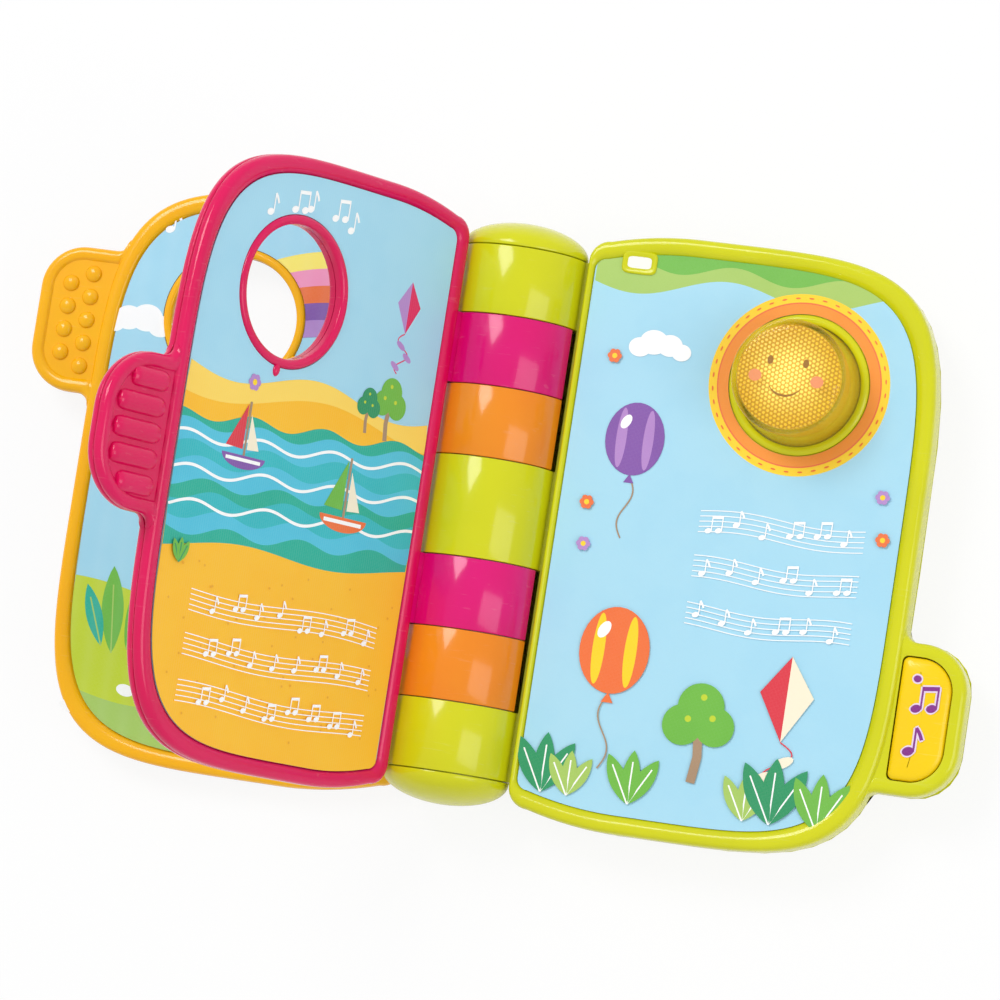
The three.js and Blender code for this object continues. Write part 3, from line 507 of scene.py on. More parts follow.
def key_outline(inset, start, steps=16):
    """The note key's outline: straight at the page, with two large quarter circles at its outer end."""
    right, half = OUTER_REACH + TAB_REACH - inset, TAB_HALF - inset
    bend, small = NOTE_CORNER - inset, 2.0
    arc, tight = np.linspace(np.pi / 2, 0, steps), np.linspace(np.pi, np.pi / 2, 6)
    x = np.concatenate([start + small + small * np.cos(tight), right - bend + bend * np.cos(arc)])
    y = np.concatenate([half - small + small * np.sin(tight), half - bend + bend * np.sin(arc)])
    upper = np.stack([x, y], -1)
    return np.vstack([upper * [1, -1], upper[::-1]]) + [0, -TAB_PITCH]


def ring(contour, height):
    """One contour at one height, as a row of points."""
    return np.column_stack([contour, np.full(len(contour), float(height))])


def towards(contour, centre, radius):
    """The points of a circle that lie in the directions of a contour's points, seen from the circle's centre."""
    away = contour - centre
    return centre + radius * away / np.linalg.norm(away, axis=1, keepdims=True)


def closed_rows(rows):
    """Rows of one ring each, closed by a point in the middle of the first and of the last."""
    first = np.broadcast_to(rows[0].mean(0), rows[0].shape)
    last = np.broadcast_to(rows[-1].mean(0), rows[-1].shape)
    return np.stack([first, *rows, last])


def turned(profile, centre, height=0.0, segments=96, axis="z"):
    """A surface of revolution: the radius and height of each profile point, carried round a circle."""
    profile = np.asarray(profile, float)
    angle = np.linspace(0, 2 * np.pi, segments, endpoint=False)
    radius, along = profile[:, :1], profile[:, 1:]
    cosine, sine = radius * np.cos(angle), radius * np.sin(angle)
    along = np.broadcast_to(along, cosine.shape)
    if axis == "z":
        return np.stack([centre[0] + cosine, centre[1] + sine, height + along], -1)
    return np.stack([centre[0] + sine, along, centre[1] + cosine], -1)


def box_section(inner, outer, low, high, edge=0.35):
    """The section of a tube's wall, as radius and length, with its outer edges cut off at the size edge."""
    corners = [(inner, low), (outer - edge, low), (outer - edge * 0.3, low + edge * 0.3), (outer, low + edge),
               (outer, high - edge), (outer - edge * 0.3, high - edge * 0.3), (outer - edge, high), (inner, high)]
    return np.array(corners)


def tube_arc(section, start, arc, steps):
    """A wall section carried round the spine's axis from an angle, over an arc, and closed at both ends."""
    angle = np.radians(start + arc * np.linspace(0, 1, steps + 1))[:, None]
    radius, along = section[:, 0], section[:, 1]
    u, w = radius * np.cos(angle), radius * np.sin(angle)
    rows = np.stack([u, np.broadcast_to(along, u.shape), w], -1)
    if arc >= 360:
        return np.vstack([rows[:-1], rows[:1]])
    return closed_rows(list(rows))


def bar(polygon, low, high, edge=0.4):
    """A polygon of across and up, carried along the spine from low to high, with small rounded ends."""
    polygon = np.asarray(polygon, float)
    middle = polygon.mean(0)
    shrunk = middle + (polygon - middle) * (1 - edge / np.abs(polygon - middle).max())
    rows = [(shrunk, low), (polygon, low + edge), (polygon, high - edge), (shrunk, high)]
    return closed_rows([np.column_stack([face[:, 0], np.full(len(face), y), face[:, 1]]) for face, y in rows])


def to_row(points, angle):
    """Page coordinates u, y, w to the row frame: a turn about the spine's axis, and the lift to its height."""
    turn = math.radians(angle)
    u, y, w = np.moveaxis(np.asarray(points, float), -1, 0)
    x = u * math.cos(turn) - w * math.sin(turn)
    z = u * math.sin(turn) + w * math.cos(turn) + BARREL_RADIUS
    return np.stack([x, y, z], -1)


def add_object(name, mesh, materials, body, nodes):
    for material in materials:
        mesh.materials.append(material)
    piece = bpy.data.objects.new(name, mesh)
    bpy.context.scene.collection.objects.link(piece)
    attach(piece, body)
    if nodes:
        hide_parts(*nodes)
    return piece


def clean_mesh(mesh, sharp, recalculate=True):
    """Joins points that lie together, drops faces of no area, turns faces outwards, and rounds the shading."""
    work = bmesh.new()
    work.from_mesh(mesh)
    bmesh.ops.remove_doubles(work, verts=work.verts, dist=2e-6)
    bmesh.ops.dissolve_degenerate(work, edges=work.edges, dist=1e-7)
    if recalculate:
        bmesh.ops.recalc_face_normals(work, faces=work.faces)
    work.to_mesh(mesh)
    work.free()
    mesh.polygons.foreach_set("use_smooth", np.ones(len(mesh.polygons), bool))
    mesh.set_sharp_from_angle(angle=math.radians(sharp))


def closed_quads(index):
    """The faces between neighbouring rows of point numbers, each row closed on itself."""
    index = np.hstack([index, index[:, :1]])
    return np.stack([index[:-1, :-1], index[:-1, 1:], index[1:, 1:], index[1:, :-1]], -1).reshape(-1, 4)


def shell_piece(name, surfaces, material, body, nodes=(), sharp=38.0):
    """One mesh from grids of points in millimetres: quads between neighbouring rows, each row closed on itself."""
    points, faces, start = [], [], 0
    for grid in surfaces:
        rows, columns = grid.shape[:2]
        points.append(grid.reshape(-1, 3))
        faces.append(closed_quads(np.arange(rows * columns).reshape(rows, columns) + start))
        start += rows * columns
    mesh = bpy.data.meshes.new(name)
    mesh.from_pydata(np.vstack(points) * 0.001, [], np.vstack(faces).tolist())
    clean_mesh(mesh, sharp)
    return add_object(name, mesh, [material], body, nodes)


def smooth_copy(node, name, material, sharp=28.0):
    """A copy of a CAD node's mesh with its loose triangles joined and its round faces shaded smooth."""
    source = frame["nodes"][node]
    mesh = source.data.copy()
    mesh.name = name
    mesh.materials.clear()
    clean_mesh(mesh, sharp, recalculate=False)
    return add_object(name, mesh, [material], source["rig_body"], [node])


# ---------------------------------------------------------------- housing, spine and lamp
def split_angle():
    """The angle on the barrel, in degrees below its middle, where the two halves of the housing meet."""
    return math.degrees(math.asin((BARREL_RADIUS - SPLIT_HEIGHT - GAP / 2) / BARREL_RADIUS))


def panel_shell():
    """The panel's upper half: its wall, the rolled rim, the plate under the print, and the lamp's hole."""
    low = SPLIT_HEIGHT + GAP / 2
    wall = [(0.35, 0.35, low), (0.0, 0.0, low + 0.5), (0.0, 0.0, 22.6), (0.2, 0.2, HOUSING_TOP - 1.5),
            (1.1, 0.6, HOUSING_TOP - 0.25), (2.6, 1.1, HOUSING_TOP + 0.05), (4.2, 1.7, HOUSING_TOP - 0.15),
            (5.3, 2.3, HOUSING_TOP - 0.75), (PANEL_RIM, ROOT_RIM, PLATE_TOP + 0.3)]
    rows = [ring(outline(HOUSING_LEFT, inset, root), z) for inset, root, z in rounded(wall)]
    edge = outline(HOUSING_LEFT, PANEL_RIM + 0.3, ROOT_RIM + 0.1)
    inner = outline(HOUSING_LEFT, 2.2, 2.2)
    hole = towards(edge, LAMP, LENS_RADIUS + GAP)
    rows += [ring(edge, PLATE_TOP), ring(hole, PLATE_TOP), ring(hole, PLATE_UNDER)]
    rows += [ring(inner, PLATE_UNDER), ring(inner, low), rows[0]]
    return np.stack(rows)


def note_tab_shell():
    """The housing's own tab: a rolled rim that drops into a well round the note button."""
    centre = -TAB_PITCH
    low = SPLIT_HEIGHT + GAP / 2
    wall = [(0.3, low), (0.0, low + 0.5), (0.0, HOUSING_TOP - 4.5), (0.3, HOUSING_TOP - 2.6),
            (1.5, HOUSING_TOP - 1.5), (3.2, HOUSING_TOP - 1.4), (4.6, HOUSING_TOP - 1.6)]
    rows = [ring(tab_outline(centre, inset, corner=NOTE_CORNER, depth=4.4), z) for inset, z in rounded(wall)]
    well = key_outline(NOTE_INSET - GAP, NOTE_START - GAP)
    rows += [ring(well, HOUSING_TOP - 1.8), ring(well, HOUSING_TOP - 7.8)]
    return closed_rows(rows)


def barrel_shells(start, arc):
    """Three stretches of the barrel's wall between the slots, over the arc that one half of the housing has."""
    spans = [(-HALF_BARREL, -SLOT_HIGH), (-SLOT_LOW, SLOT_LOW), (SLOT_HIGH, HALF_BARREL)]
    grids = [tube_arc(box_section(BARREL_BORE, BARREL_RADIUS, low, high), start, arc, 84) for low, high in spans]
    return [grid + [0, 0, BARREL_RADIUS] for grid in grids]


def neck_bars():
    """The ledge between barrel and panel: its hollow face follows the sleeves, or meets the barrel's wall."""
    grids = []
    places = [-HALF_BARREL, -SLOT_HIGH, -SLOT_LOW, SLOT_LOW, SLOT_HIGH, HALF_BARREL]
    radii = [NECK_RADIUS, SLEEVE_CLEARANCE_RADIUS, NECK_RADIUS, SLEEVE_CLEARANCE_RADIUS, NECK_RADIUS]
    for low, high, radius in zip(places, places[1:], radii):
        top = math.asin((STRIP_HEIGHT - BARREL_RADIUS) / radius)
        bottom = -math.asin((BARREL_RADIUS - SPLIT_HEIGHT - GAP / 2) / radius)
        angle = np.linspace(bottom, top, 9)
        hollow = np.column_stack([radius * np.cos(angle), BARREL_RADIUS + radius * np.sin(angle)])
        right = HOUSING_LEFT + 1.6
        polygon = np.vstack([hollow, [(right, STRIP_HEIGHT), (right, SPLIT_HEIGHT + GAP / 2)]])
        grids.append(bar(polygon, low, high, edge=0.02))
    return grids


def window_frame():
    """A low frame with rounded corners round the page window, as an oval section carried round a rectangle."""
    centre, half = np.array([40.6, 90.2]), np.array([6.0, 3.9])
    angle = np.linspace(0, 2 * np.pi, 72, endpoint=False)
    shape = np.column_stack([np.cos(angle), np.sin(angle)])
    shape = np.sign(shape) * np.abs(shape) ** 0.42
    section = [(0.0, PLATE_TOP), (0.0, PANEL_FACE + 0.35), (0.35, PANEL_FACE + 0.75), (1.3, PANEL_FACE + 0.8),
               (1.9, PANEL_FACE + 0.45), (2.0, PLATE_TOP)]
    rows = [ring(centre + shape * (half - inset), z) for inset, z in section]
    return np.stack([*rows, rows[0]])


def build_housing():
    angle = split_angle()
    surfaces = [panel_shell(), note_tab_shell(), window_frame(), *neck_bars()]
    surfaces += barrel_shells(-angle, 180 + 2 * angle)
    shell_piece("front_housing_shell", surfaces, lime, "housing", ["front_housing"])
    smooth_copy("rear_housing", "rear_housing_shell", lime_satin)


def build_caps():
    """Domed ends of the spine: a quarter ellipse, a short wall and the seam's small rounded edge."""
    turn = np.linspace(0, np.pi / 2, 22)
    seam = HALF_BARREL + GAP
    dome = np.column_stack([BARREL_RADIUS * np.cos(turn), seam + 0.5 + (CAP_DEPTH - GAP - 0.5) * np.sin(turn)])
    profile = np.vstack([[(BARREL_BORE - 1.7, HALF_BARREL - 4), (BARREL_BORE - GAP, HALF_BARREL - 4),
                          (BARREL_BORE - GAP, seam), (BARREL_RADIUS - 0.4, seam), (BARREL_RADIUS - 0.1, seam + 0.15)],
                         dome, [(0.0, HALF_BARREL + CAP_DEPTH - 2.2), (BARREL_BORE - 4, seam + 3.2),
                                (BARREL_BORE - 1.7, HALF_BARREL - 4)]])
    for name, side in (("spine_top_cap", 1), ("spine_bottom_cap", -1)):
        grid = turned(profile, (0.0, BARREL_RADIUS), axis="y") * [1, side, 1]
        shell_piece(name + "_dome", [grid], lime, "housing", [name])


def build_lamp():
    """The push lamp: clear cup with a rounded top, the honeycomb disc in it, and the ring round it."""
    low = PLATE_UNDER - GAP
    arc = np.linspace(0, np.pi / 2, 12)
    inner_round = LENS_ROUND - LENS_WALL
    centre = LENS_TOP_RADIUS - LENS_ROUND
    outer = np.column_stack([centre + LENS_ROUND * np.cos(arc), LENS_TOP - LENS_ROUND + LENS_ROUND * np.sin(arc)])
    inner = np.column_stack([centre + inner_round * np.cos(arc), LENS_TOP - LENS_ROUND + inner_round * np.sin(arc)])
    profile = np.vstack([[(LENS_RADIUS - LENS_WALL, low - 1.5), (LENS_RADIUS + 1.9, low - 1.5),
                          (LENS_RADIUS + 1.9, low), (LENS_RADIUS, low), (LENS_RADIUS, HOUSING_TOP)], outer,
                         [(0.0, LENS_TOP), (0.0, LENS_TOP - LENS_WALL)], inner[::-1],
                         [(LENS_RADIUS - LENS_WALL, HOUSING_TOP), (LENS_RADIUS - LENS_WALL, low - 1.5)]])
    shell_piece("lamp_lens_cup", [turned(profile, LAMP, segments=128)], amber, "lamp_button", ["lamp_lens"],
                sharp=50.0)
    ring_low, inside, outside = PLATE_TOP + GAP, LENS_RADIUS + GAP, LENS_RADIUS + 3.2
    bead = rounded([(inside, ring_low), (inside, 25.7), (inside + 0.7, 26.25), (outside - 0.9, 26.3),
                    (outside, 25.6), (outside, ring_low)])
    section = np.vstack([bead, bead[:1]])
    shell_piece("lamp_bezel_ring", [turned(section, LAMP)], lime, "housing", ["lamp_bezel"])
    radius, top = LENS_TOP_RADIUS - LENS_WALL - GAP, LENS_TOP - LENS_ROUND - GAP
    crown = [(0, top + 1.2), (radius * 0.3, top + 1.12), (radius * 0.6, top + 0.85), (radius * 0.85, top + 0.4)]
    skirt = [(radius, top - 0.1), (radius, top - 3), (radius - 1.2, top - 3), (radius - 1.2, top - 1.2)]
    dish = np.array([*crown, *skirt, (0, top - 0.6)])
    shell_piece("honeycomb_disc", [turned(dish, LAMP)], honeycomb, "lamp_button",
                ["lamp_reflector"])


def build_note_button():
    """The note key: a D outline drawn further in towards its soft crowned top."""
    top, under = HOUSING_TOP - 1.0, HOUSING_TOP - 4.5
    steps = [(0.0, under - 1), (0.0, top - 1.7), (0.35, top - 0.9), (1.2, top - 0.3), (2.2, top - 0.05),
             (3.4, top + 0.15), (4.6, top + 0.3)]
    rows = [ring(key_outline(NOTE_INSET + inset, NOTE_START + inset), z) for inset, z in rounded(steps)]
    shell_piece("note_key", [closed_rows(rows)], button_yellow, "note_key", ["note_button"])


# ---------------------------------------------------------------- pages
def page_half(root):
    """One half of a page by depth from its face: joint, rolled rim, floor, the bead round the hole, and back."""
    rim = [(0.4, SHELL_DEPTH), (0.05, SHELL_DEPTH - 0.25), (0.0, 2.4), (0.25, 1.1), (1.1, 0.2), (2.5, -0.05),
           (4.0, 0.15), (4.9, 0.6), (PAGE_RIM, 1.35)]
    share = PAGE_ROOT_RIM / PAGE_RIM
    rows = [ring(outline(root, inset, inset * share), -depth) for inset, depth in rounded(rim)]
    edge = outline(root, PAGE_RIM + 0.2, PAGE_ROOT_RIM + 0.1)
    bead = rounded([(HOLE_RING_RADIUS + 0.1, 1.7), (HOLE_RING_RADIUS, 1.0), (24.6, 0.35), (23.6, 0.1), (22.6, 0.3),
                    (HOLE_RADIUS, 1.0), (HOLE_RADIUS, SHELL_DEPTH)])
    rows += [ring(edge, -1.7), ring(towards(edge, LAMP, HOLE_RING_RADIUS + 0.4), -1.7)]
    rows += [ring(towards(edge, LAMP, radius), -depth) for radius, depth in bead]
    return np.stack([*rows, rows[0]])


def page_tab(tab):
    """A page's finger tab by depth from its face: joint, rolled rim, and a sunk field."""
    steps = [(0.4, SHELL_DEPTH), (0.05, SHELL_DEPTH - 0.25), (0.0, 2.2), (0.4, 1.1), (1.4, 0.35), (2.6, 0.3),
             (3.8, 0.5), (4.3, 0.9), (4.7, 1.3)]
    rows = [ring(tab_outline(tab[0], inset, *tab[1:]), -depth) for inset, depth in rounded(steps)]
    rows.append(ring(tab_outline(tab[0], 5.4, *tab[1:]), -1.3))
    return closed_rows(rows)


def tab_ribs(centre, reach, corner):
    """Five grip ridges: each a half-round bar whose ends round off, as an ellipse carried along a line."""
    grids = []
    for k in range(5):
        offset = (k - 2) * 8.4
        over = max(abs(offset) - (TAB_HALF - corner), 0.0)
        bend = corner - TAB_RIM
        end = OUTER_REACH + reach - corner + math.sqrt(max(bend ** 2 - over ** 2, 0.0)) - 0.4
        start = OUTER_REACH + 1.6
        along = np.linspace(-1, 1, 21)
        swell = (1 - along ** 8) ** 0.5
        turn = np.linspace(0, 2 * np.pi, 20, endpoint=False)
        x = np.broadcast_to(((start + end) / 2 + along * (end - start) / 2)[:, None], (21, 20))
        y = centre + offset + 3.5 * swell[:, None] * np.cos(turn)
        z = -1.6 + 2.3 * swell[:, None] * np.sin(turn)
        grids.append(closed_rows(list(np.stack([x, y, z], -1))))
    return grids


def tab_bumps(centre, reach, _corner):
    """Two staggered columns of grip domes: a flattened sphere on the sunk field at each place."""
    grids = []
    middle = OUTER_REACH + reach / 2 - 3
    rise = np.linspace(-np.pi / 2, np.pi / 2, 12)
    dome = np.column_stack([2.9 * np.cos(rise), 1.6 * np.sin(rise)])
    for count, shift in ((4, 3.75), (5, -3.75)):
        for k in range(count):
            place = (middle + shift, centre + (k - (count - 1) / 2) * 8.1)
            grids.append(turned(dome, place, height=-1.3, segments=28))
    return grids


def hole_nub(angle):
    """A small pip on the outside of the bead round the hole: an egg that lies along the radius."""
    turn = math.radians(angle)
    rise = np.linspace(-np.pi / 2, np.pi / 2, 10)
    egg = turned(np.column_stack([1.5 * np.cos(rise), 1.2 * np.sin(rise)]), (0.0, 0.0), segments=24)
    egg = egg * [1.5, 1, 1]
    x = egg[..., 0] * math.cos(turn) - egg[..., 1] * math.sin(turn)
    y = egg[..., 0] * math.sin(turn) + egg[..., 1] * math.cos(turn)
    reach = HOLE_RING_RADIUS + 1.2
    centre = [LAMP[0] + reach * math.cos(turn), LAMP[1] + reach * math.sin(turn), -1.1]
    return np.stack([x, y, egg[..., 2]], -1) + centre


def sleeve_grids(page):
    """The page's two sleeves round the core and the web that joins each to the page's root."""
    grids = []
    lift, root = page["lift"], page["root"]
    for side in (-1, 1):
        middle = side * SLOT_CENTRE + page["order"] * (SLEEVE_LENGTH + GAP) / 2
        low, high = middle - SLEEVE_LENGTH / 2, middle + SLEEVE_LENGTH / 2
        section = box_section(BARREL_BORE, SLEEVE_RADIUS, low, high, edge=0.3)
        grids.append(tube_arc(section, SLEEVE_EDGE - page["angle"], SLEEVE_ARC, 110))
        top = lift + SHELL_DEPTH
        web = [(math.sqrt(WEB_RADIUS ** 2 - lift ** 2), lift + 0.4), (root + 2.0, lift + 0.4), (root + 2.0, top),
               (math.sqrt(WEB_RADIUS ** 2 - top ** 2), top)]
        grids.append(bar(web, low, high, edge=0.3))
    return grids


def build_page(name, material, sleeve_material):
    page = PAGES[name]
    grip = tab_ribs if name == "pink_page" else tab_bumps
    half = [page_half(page["root"]), page_tab(page["tab"]), hole_nub(page["nub"]), *grip(*page["tab"])]
    front = [to_row(grid * [1, 1, -1] + [0, 0, page["lift"]], page["angle"]) for grid in half]
    back = [to_row(grid + [0, 0, page["lift"] + PAGE_THICKNESS], page["angle"]) for grid in half]
    sleeves = [to_row(grid, page["angle"]) for grid in sleeve_grids(page)]
    shell_piece(name + "_front_shell", front, material, name, [name + "_front"])
    shell_piece(name + "_back_shell", back, material, name, [name + "_back"])
    shell_piece(name + "_sleeves", sleeves, sleeve_material, name, ())


# ---------------------------------------------------------------- printed pictures
def ink_mesh(name, points, faces, colours, body, nodes):
    """A mesh from points in millimetres whose faces keep their colours in the attribute ink."""
    mesh = bpy.data.meshes.new(name)
    mesh.from_pydata(points * 0.001, [], faces)
    ink = mesh.attributes.new("ink", "FLOAT_COLOR", "FACE")
    ink.data.foreach_set("color", np.vstack(colours).astype(np.float32).ravel())
    add_object(name, mesh, [picture], body, nodes)


class Picture:
    """A printed sheet in across and along coordinates. Each shape is laid a few thousandths above the one before,
    as ink is laid on ink, and keeps its colour in the attribute ink."""

    LAYER = 0.004

    def __init__(self, root, rim, with_hole, facing=1):
        self.field = outline(root, rim + GAP, (ROOT_RIM if with_hole == "lamp" else PAGE_ROOT_RIM) + GAP)
        self.with_hole, self.facing = with_hole, facing
        self.hole = LENS_RADIUS + 3.5 if with_hole == "lamp" else HOLE_RING_RADIUS + 0.2
        self.points, self.faces, self.colours = [], [], []
        self.start, self.level = 0, 0.0

    def lay(self, points, faces, colour):
        self.level += self.LAYER
        heights = np.full((len(points), 1), self.level)
        self.points.append(np.hstack([points, heights]))
        self.faces += (np.asarray(faces) + self.start).tolist()
        self.colours.append(np.tile(linear(colour), (len(faces), 1)))
        self.start += len(points)

    def fan(self, contour, colour):
        """A shape that its middle sees all of: triangles from the middle to each side of the contour."""
        contour = np.asarray(contour, float)
        count = len(contour)
        index = np.arange(count)
        faces = np.column_stack([np.full(count, count), index, (index + 1) % count])
        first, second = contour - contour.mean(0), np.roll(contour, -1, 0) - contour.mean(0)
        if (first[:, 0] * second[:, 1] - first[:, 1] * second[:, 0]).sum() < 0:
            faces = faces[:, [0, 2, 1]]
        self.lay(np.vstack([contour, contour.mean(0)]), faces, colour)

    def strip(self, lower, upper, colour):
        """A ribbon between two lines with the same number of points."""
        count = len(lower)
        index = np.arange(count - 1)
        faces = np.column_stack([index, index + 1, index + 1 + count, index + count])
        self.lay(np.vstack([lower, upper]), faces, colour)

    def edge_at(self, x):
        """Half the field's height at each place across, from its outline's upper side."""
        upper = self.field[self.field[:, 1] > 0]
        upper = upper[np.argsort(upper[:, 0])]
        return np.interp(x, upper[:, 0], upper[:, 1])

    def band(self, low, high, colour, start=None, end=None):
        """What lies between two height curves, cut to the field and round the hole: one ribbon above the hole's
        middle and one below it, each held outside the hole's circle."""
        left, right = self.field[:, 0].min() + 0.01, self.field[:, 0].max() - 0.01
        left, right = max(left, start or left), min(right, end or right)
        x = np.union1d(np.linspace(left, right, 260), LAMP[0] + self.hole * np.cos(np.linspace(0, np.pi, 90)))
        x = x[(x >= left) & (x <= right)]
        limit = self.edge_at(x)
        reach = np.sqrt(np.maximum(self.hole ** 2 - (x - LAMP[0]) ** 2, 0.0))
        bottom, top = np.clip(low(x), -limit, limit), np.clip(high(x), -limit, limit)
        for lower, upper in ((bottom, np.minimum(top, LAMP[1] - reach)), (np.maximum(bottom, LAMP[1] + reach), top)):
            lower = np.minimum(lower, upper)
            if (upper - lower).max() > 0.01:
                self.strip(np.column_stack([x, lower]), np.column_stack([x, upper]), colour)

    def oval(self, x, y, across, along, colour, turn=0.0, count=36):
        angle = np.linspace(0, 2 * np.pi, count, endpoint=False)
        shape = np.column_stack([across * np.cos(angle), along * np.sin(angle)])
        cosine, sine = math.cos(turn), math.sin(turn)
        self.fan(shape @ np.array([[cosine, sine], [-sine, cosine]]) + [x, y], colour)

    def hoop(self, x, y, inner, outer, colour, start=0.0, end=360.0):
        """A flat ring, or part of one."""
        angle = np.radians(np.linspace(start, end, 97))
        circle = np.column_stack([np.cos(angle), np.sin(angle)])
        self.strip(circle * outer + [x, y], circle * inner + [x, y], colour)

    def line(self, points, width, colour, taper=False):
        """A brush line: the path moved half its width to each side."""
        points = np.asarray(points, float)
        along = np.gradient(points, axis=0)
        along /= np.linalg.norm(along, axis=1, keepdims=True)
        side = np.column_stack([-along[:, 1], along[:, 0]]) * width / 2
        if taper:
            side = side * np.sin(np.linspace(0.12, np.pi - 0.12, len(points)))[:, None]
        self.strip(points - side, points + side, colour)

    def petal(self, x, y, length, width, turn, colour, vein=None):
        """A leaf-like lens between two arcs, from its foot at x, y in the direction of turn."""
        share = np.linspace(0, 1, 15)
        bulge = width / 2 * np.sin(np.pi * share) ** 0.8
        direction, side = np.array([math.cos(turn), math.sin(turn)]), np.array([-math.sin(turn), math.cos(turn)])
        spine = np.array([x, y]) + share[:, None] * length * direction
        self.strip(spine - bulge[:, None] * side, spine + bulge[:, None] * side, colour)
        if vein:
            self.line(spine[:12], 0.5, vein)

    def cloud(self, x, y, size):
        for across, along, radius in ((-1.0, 0.0, 0.55), (-0.35, 0.3, 0.7), (0.45, 0.22, 0.62), (1.05, -0.05, 0.48)):
            self.oval(x + across * size, y + along * size, radius * size, radius * size * 0.85, WHITE)

    def note(self, x, y, size, colour, pair=False):
        """A music note: a tilted oval head and a stem, with a tail, or with a beam to a second head. It is drawn the
        other way round on a page face that is turned over."""
        across = self.facing * size
        for step in (0.0, 1.5) if pair else (0.0,):
            foot = y + step * 0.12 * size
            stem = x + (step + 0.46) * across
            self.oval(x + step * across, foot, 0.52 * size, 0.38 * size, colour, turn=0.35 * self.facing, count=20)
            self.line([(stem, foot), (stem, foot + 1.1 * size), (stem, foot + 2.1 * size)], 0.17 * size, colour)
        stem, top = x + 0.46 * across, y + 2.1 * size
        if pair:
            beam = [(stem - 0.08 * across, top - 0.12 * size), (stem + 1.58 * across, top + 0.08 * size)]
            self.line(beam, 0.4 * size, colour)
        else:
            curve = [(stem, top), (stem + 0.35 * across, top - 0.45 * size), (stem + 0.6 * across, top - size)]
            self.line(rounded(curve), 0.3 * size, colour)

    def stave(self, x, y, width, rows=1, spacing=2.3, notes=6, seed=0):
        """White music lines with notes set along them, in place of words."""
        chance = np.random.default_rng(seed)
        for row in range(rows):
            base = y - row * spacing * 7.2
            across = np.linspace(x, x + width, 40)
            swing = 1.1 * np.sin((across - x) / width * 2 * np.pi + row)
            for k in range(5):
                self.line(np.column_stack([across, base + swing + k * spacing * 0.8]), 0.32, WHITE)
            for place in np.linspace(0.06, 0.88, notes):
                height = base + chance.uniform(0.2, 2.6) * spacing * 0.8
                self.note(x + place * width, height, 2.3, WHITE, pair=chance.random() < 0.35)

    def balloon(self, x, y, size, colour, stripe, sway=2.0):
        """A balloon with two paler stripes, a knot and a waving string."""
        down = np.linspace(0, 1, 24)
        string = np.column_stack([x + sway * np.sin(down * 2 * np.pi), y - 1.15 * size - down * size * 1.9])
        self.line(string, 0.5, BROWN)
        knot = np.array([(-0.16, -1.35), (0.16, -1.35), (0.0, -1.08)])
        self.fan(knot * size + [x, y], colour)
        self.oval(x, y, 0.92 * size, 1.12 * size, colour)
        for share in (-0.42, 0.42):
            self.oval(x + share * size, y, 0.16 * size, 0.92 * size, stripe)
        self.oval(x - 0.34 * size, y + 0.5 * size, 0.14 * size, 0.24 * size, WHITE, turn=-0.5)

    def tree(self, x, y, size, colour):
        self.line([(x, y), (x + 0.1 * size, y + 0.8 * size), (x, y + 1.7 * size)], 0.28 * size, BROWN)
        for across, along, radius in ((-0.5, 1.7, 0.62), (0.5, 1.75, 0.6), (0.0, 2.3, 0.72)):
            self.oval(x + across * size, y + along * size, radius * size, radius * size, colour)
        for across, along in ((-0.35, 1.9), (0.4, 2.0), (0.05, 2.6)):
            self.oval(x + across * size, y + along * size, 0.1 * size, 0.1 * size, MEADOW, count=12)

    def boat(self, x, y, size, hull, sail, stripe):
        """A toy boat: a round hull, a mast and two sails."""
        curve = np.linspace(np.pi, 2 * np.pi, 20)
        self.fan(np.column_stack([x + 1.25 * size * np.cos(curve), y + 0.55 * size * np.sin(curve)]), hull)
        self.line([(x - 1.0 * size, y - 0.18 * size), (x + 1.0 * size, y - 0.18 * size)], 0.14 * size, stripe)
        self.line([(x, y), (x, y + 2.2 * size)], 0.12 * size, BROWN)
        for near, far, top, cloth in ((0.12, 1.1, 2.1, sail), (-0.12, -0.8, 1.7, CREAM)):
            corners = np.array([(near, 0.25), (far, 0.3), (near, top)])
            self.fan(corners * size + [x, y], cloth)

    def kite(self, x, y, size, colours):
        """A kite in two colours, with a waving tail and bows."""
        self.fan([(x, y + size), (x - 0.7 * size, y), (x, y - 1.2 * size)], colours[0])
        self.fan([(x, y + size), (x, y - 1.2 * size), (x + 0.7 * size, y)], colours[1])
        down = np.linspace(0, 1, 24)
        tail = np.column_stack([x + 0.35 * size * np.sin(down * 9), y - 1.2 * size - down * 1.7 * size])
        self.line(tail, 0.45, colours[0])
        for k in (7, 13, 19):
            self.oval(tail[k, 0], tail[k, 1], 0.3 * size, 0.13 * size, colours[k % 2], turn=0.5, count=14)

    def flower(self, x, y, size, colour):
        for k in range(6):
            angle = k * math.pi / 3
            self.oval(x + 0.55 * size * math.cos(angle), y + 0.55 * size * math.sin(angle), 0.4 * size, 0.4 * size,
                      colour, count=14)
        self.oval(x, y, 0.34 * size, 0.34 * size, RING_YELLOW, count=16)

    def specks(self, low, high, colour, count, seed):
        """Small dots strewn between two heights, kept off the hole and the edge."""
        chance = np.random.default_rng(seed)
        left, right = self.field[:, 0].min() + 4, self.field[:, 0].max() - 4
        for x, share in zip(chance.uniform(left, right, count), chance.uniform(0, 1, count)):
            y = low + share * (high - low)
            if math.hypot(x - LAMP[0], y - LAMP[1]) > self.hole + 3 and abs(y) < self.edge_at(x) - 3:
                self.oval(x, y, 0.45, 0.45, colour, count=6)

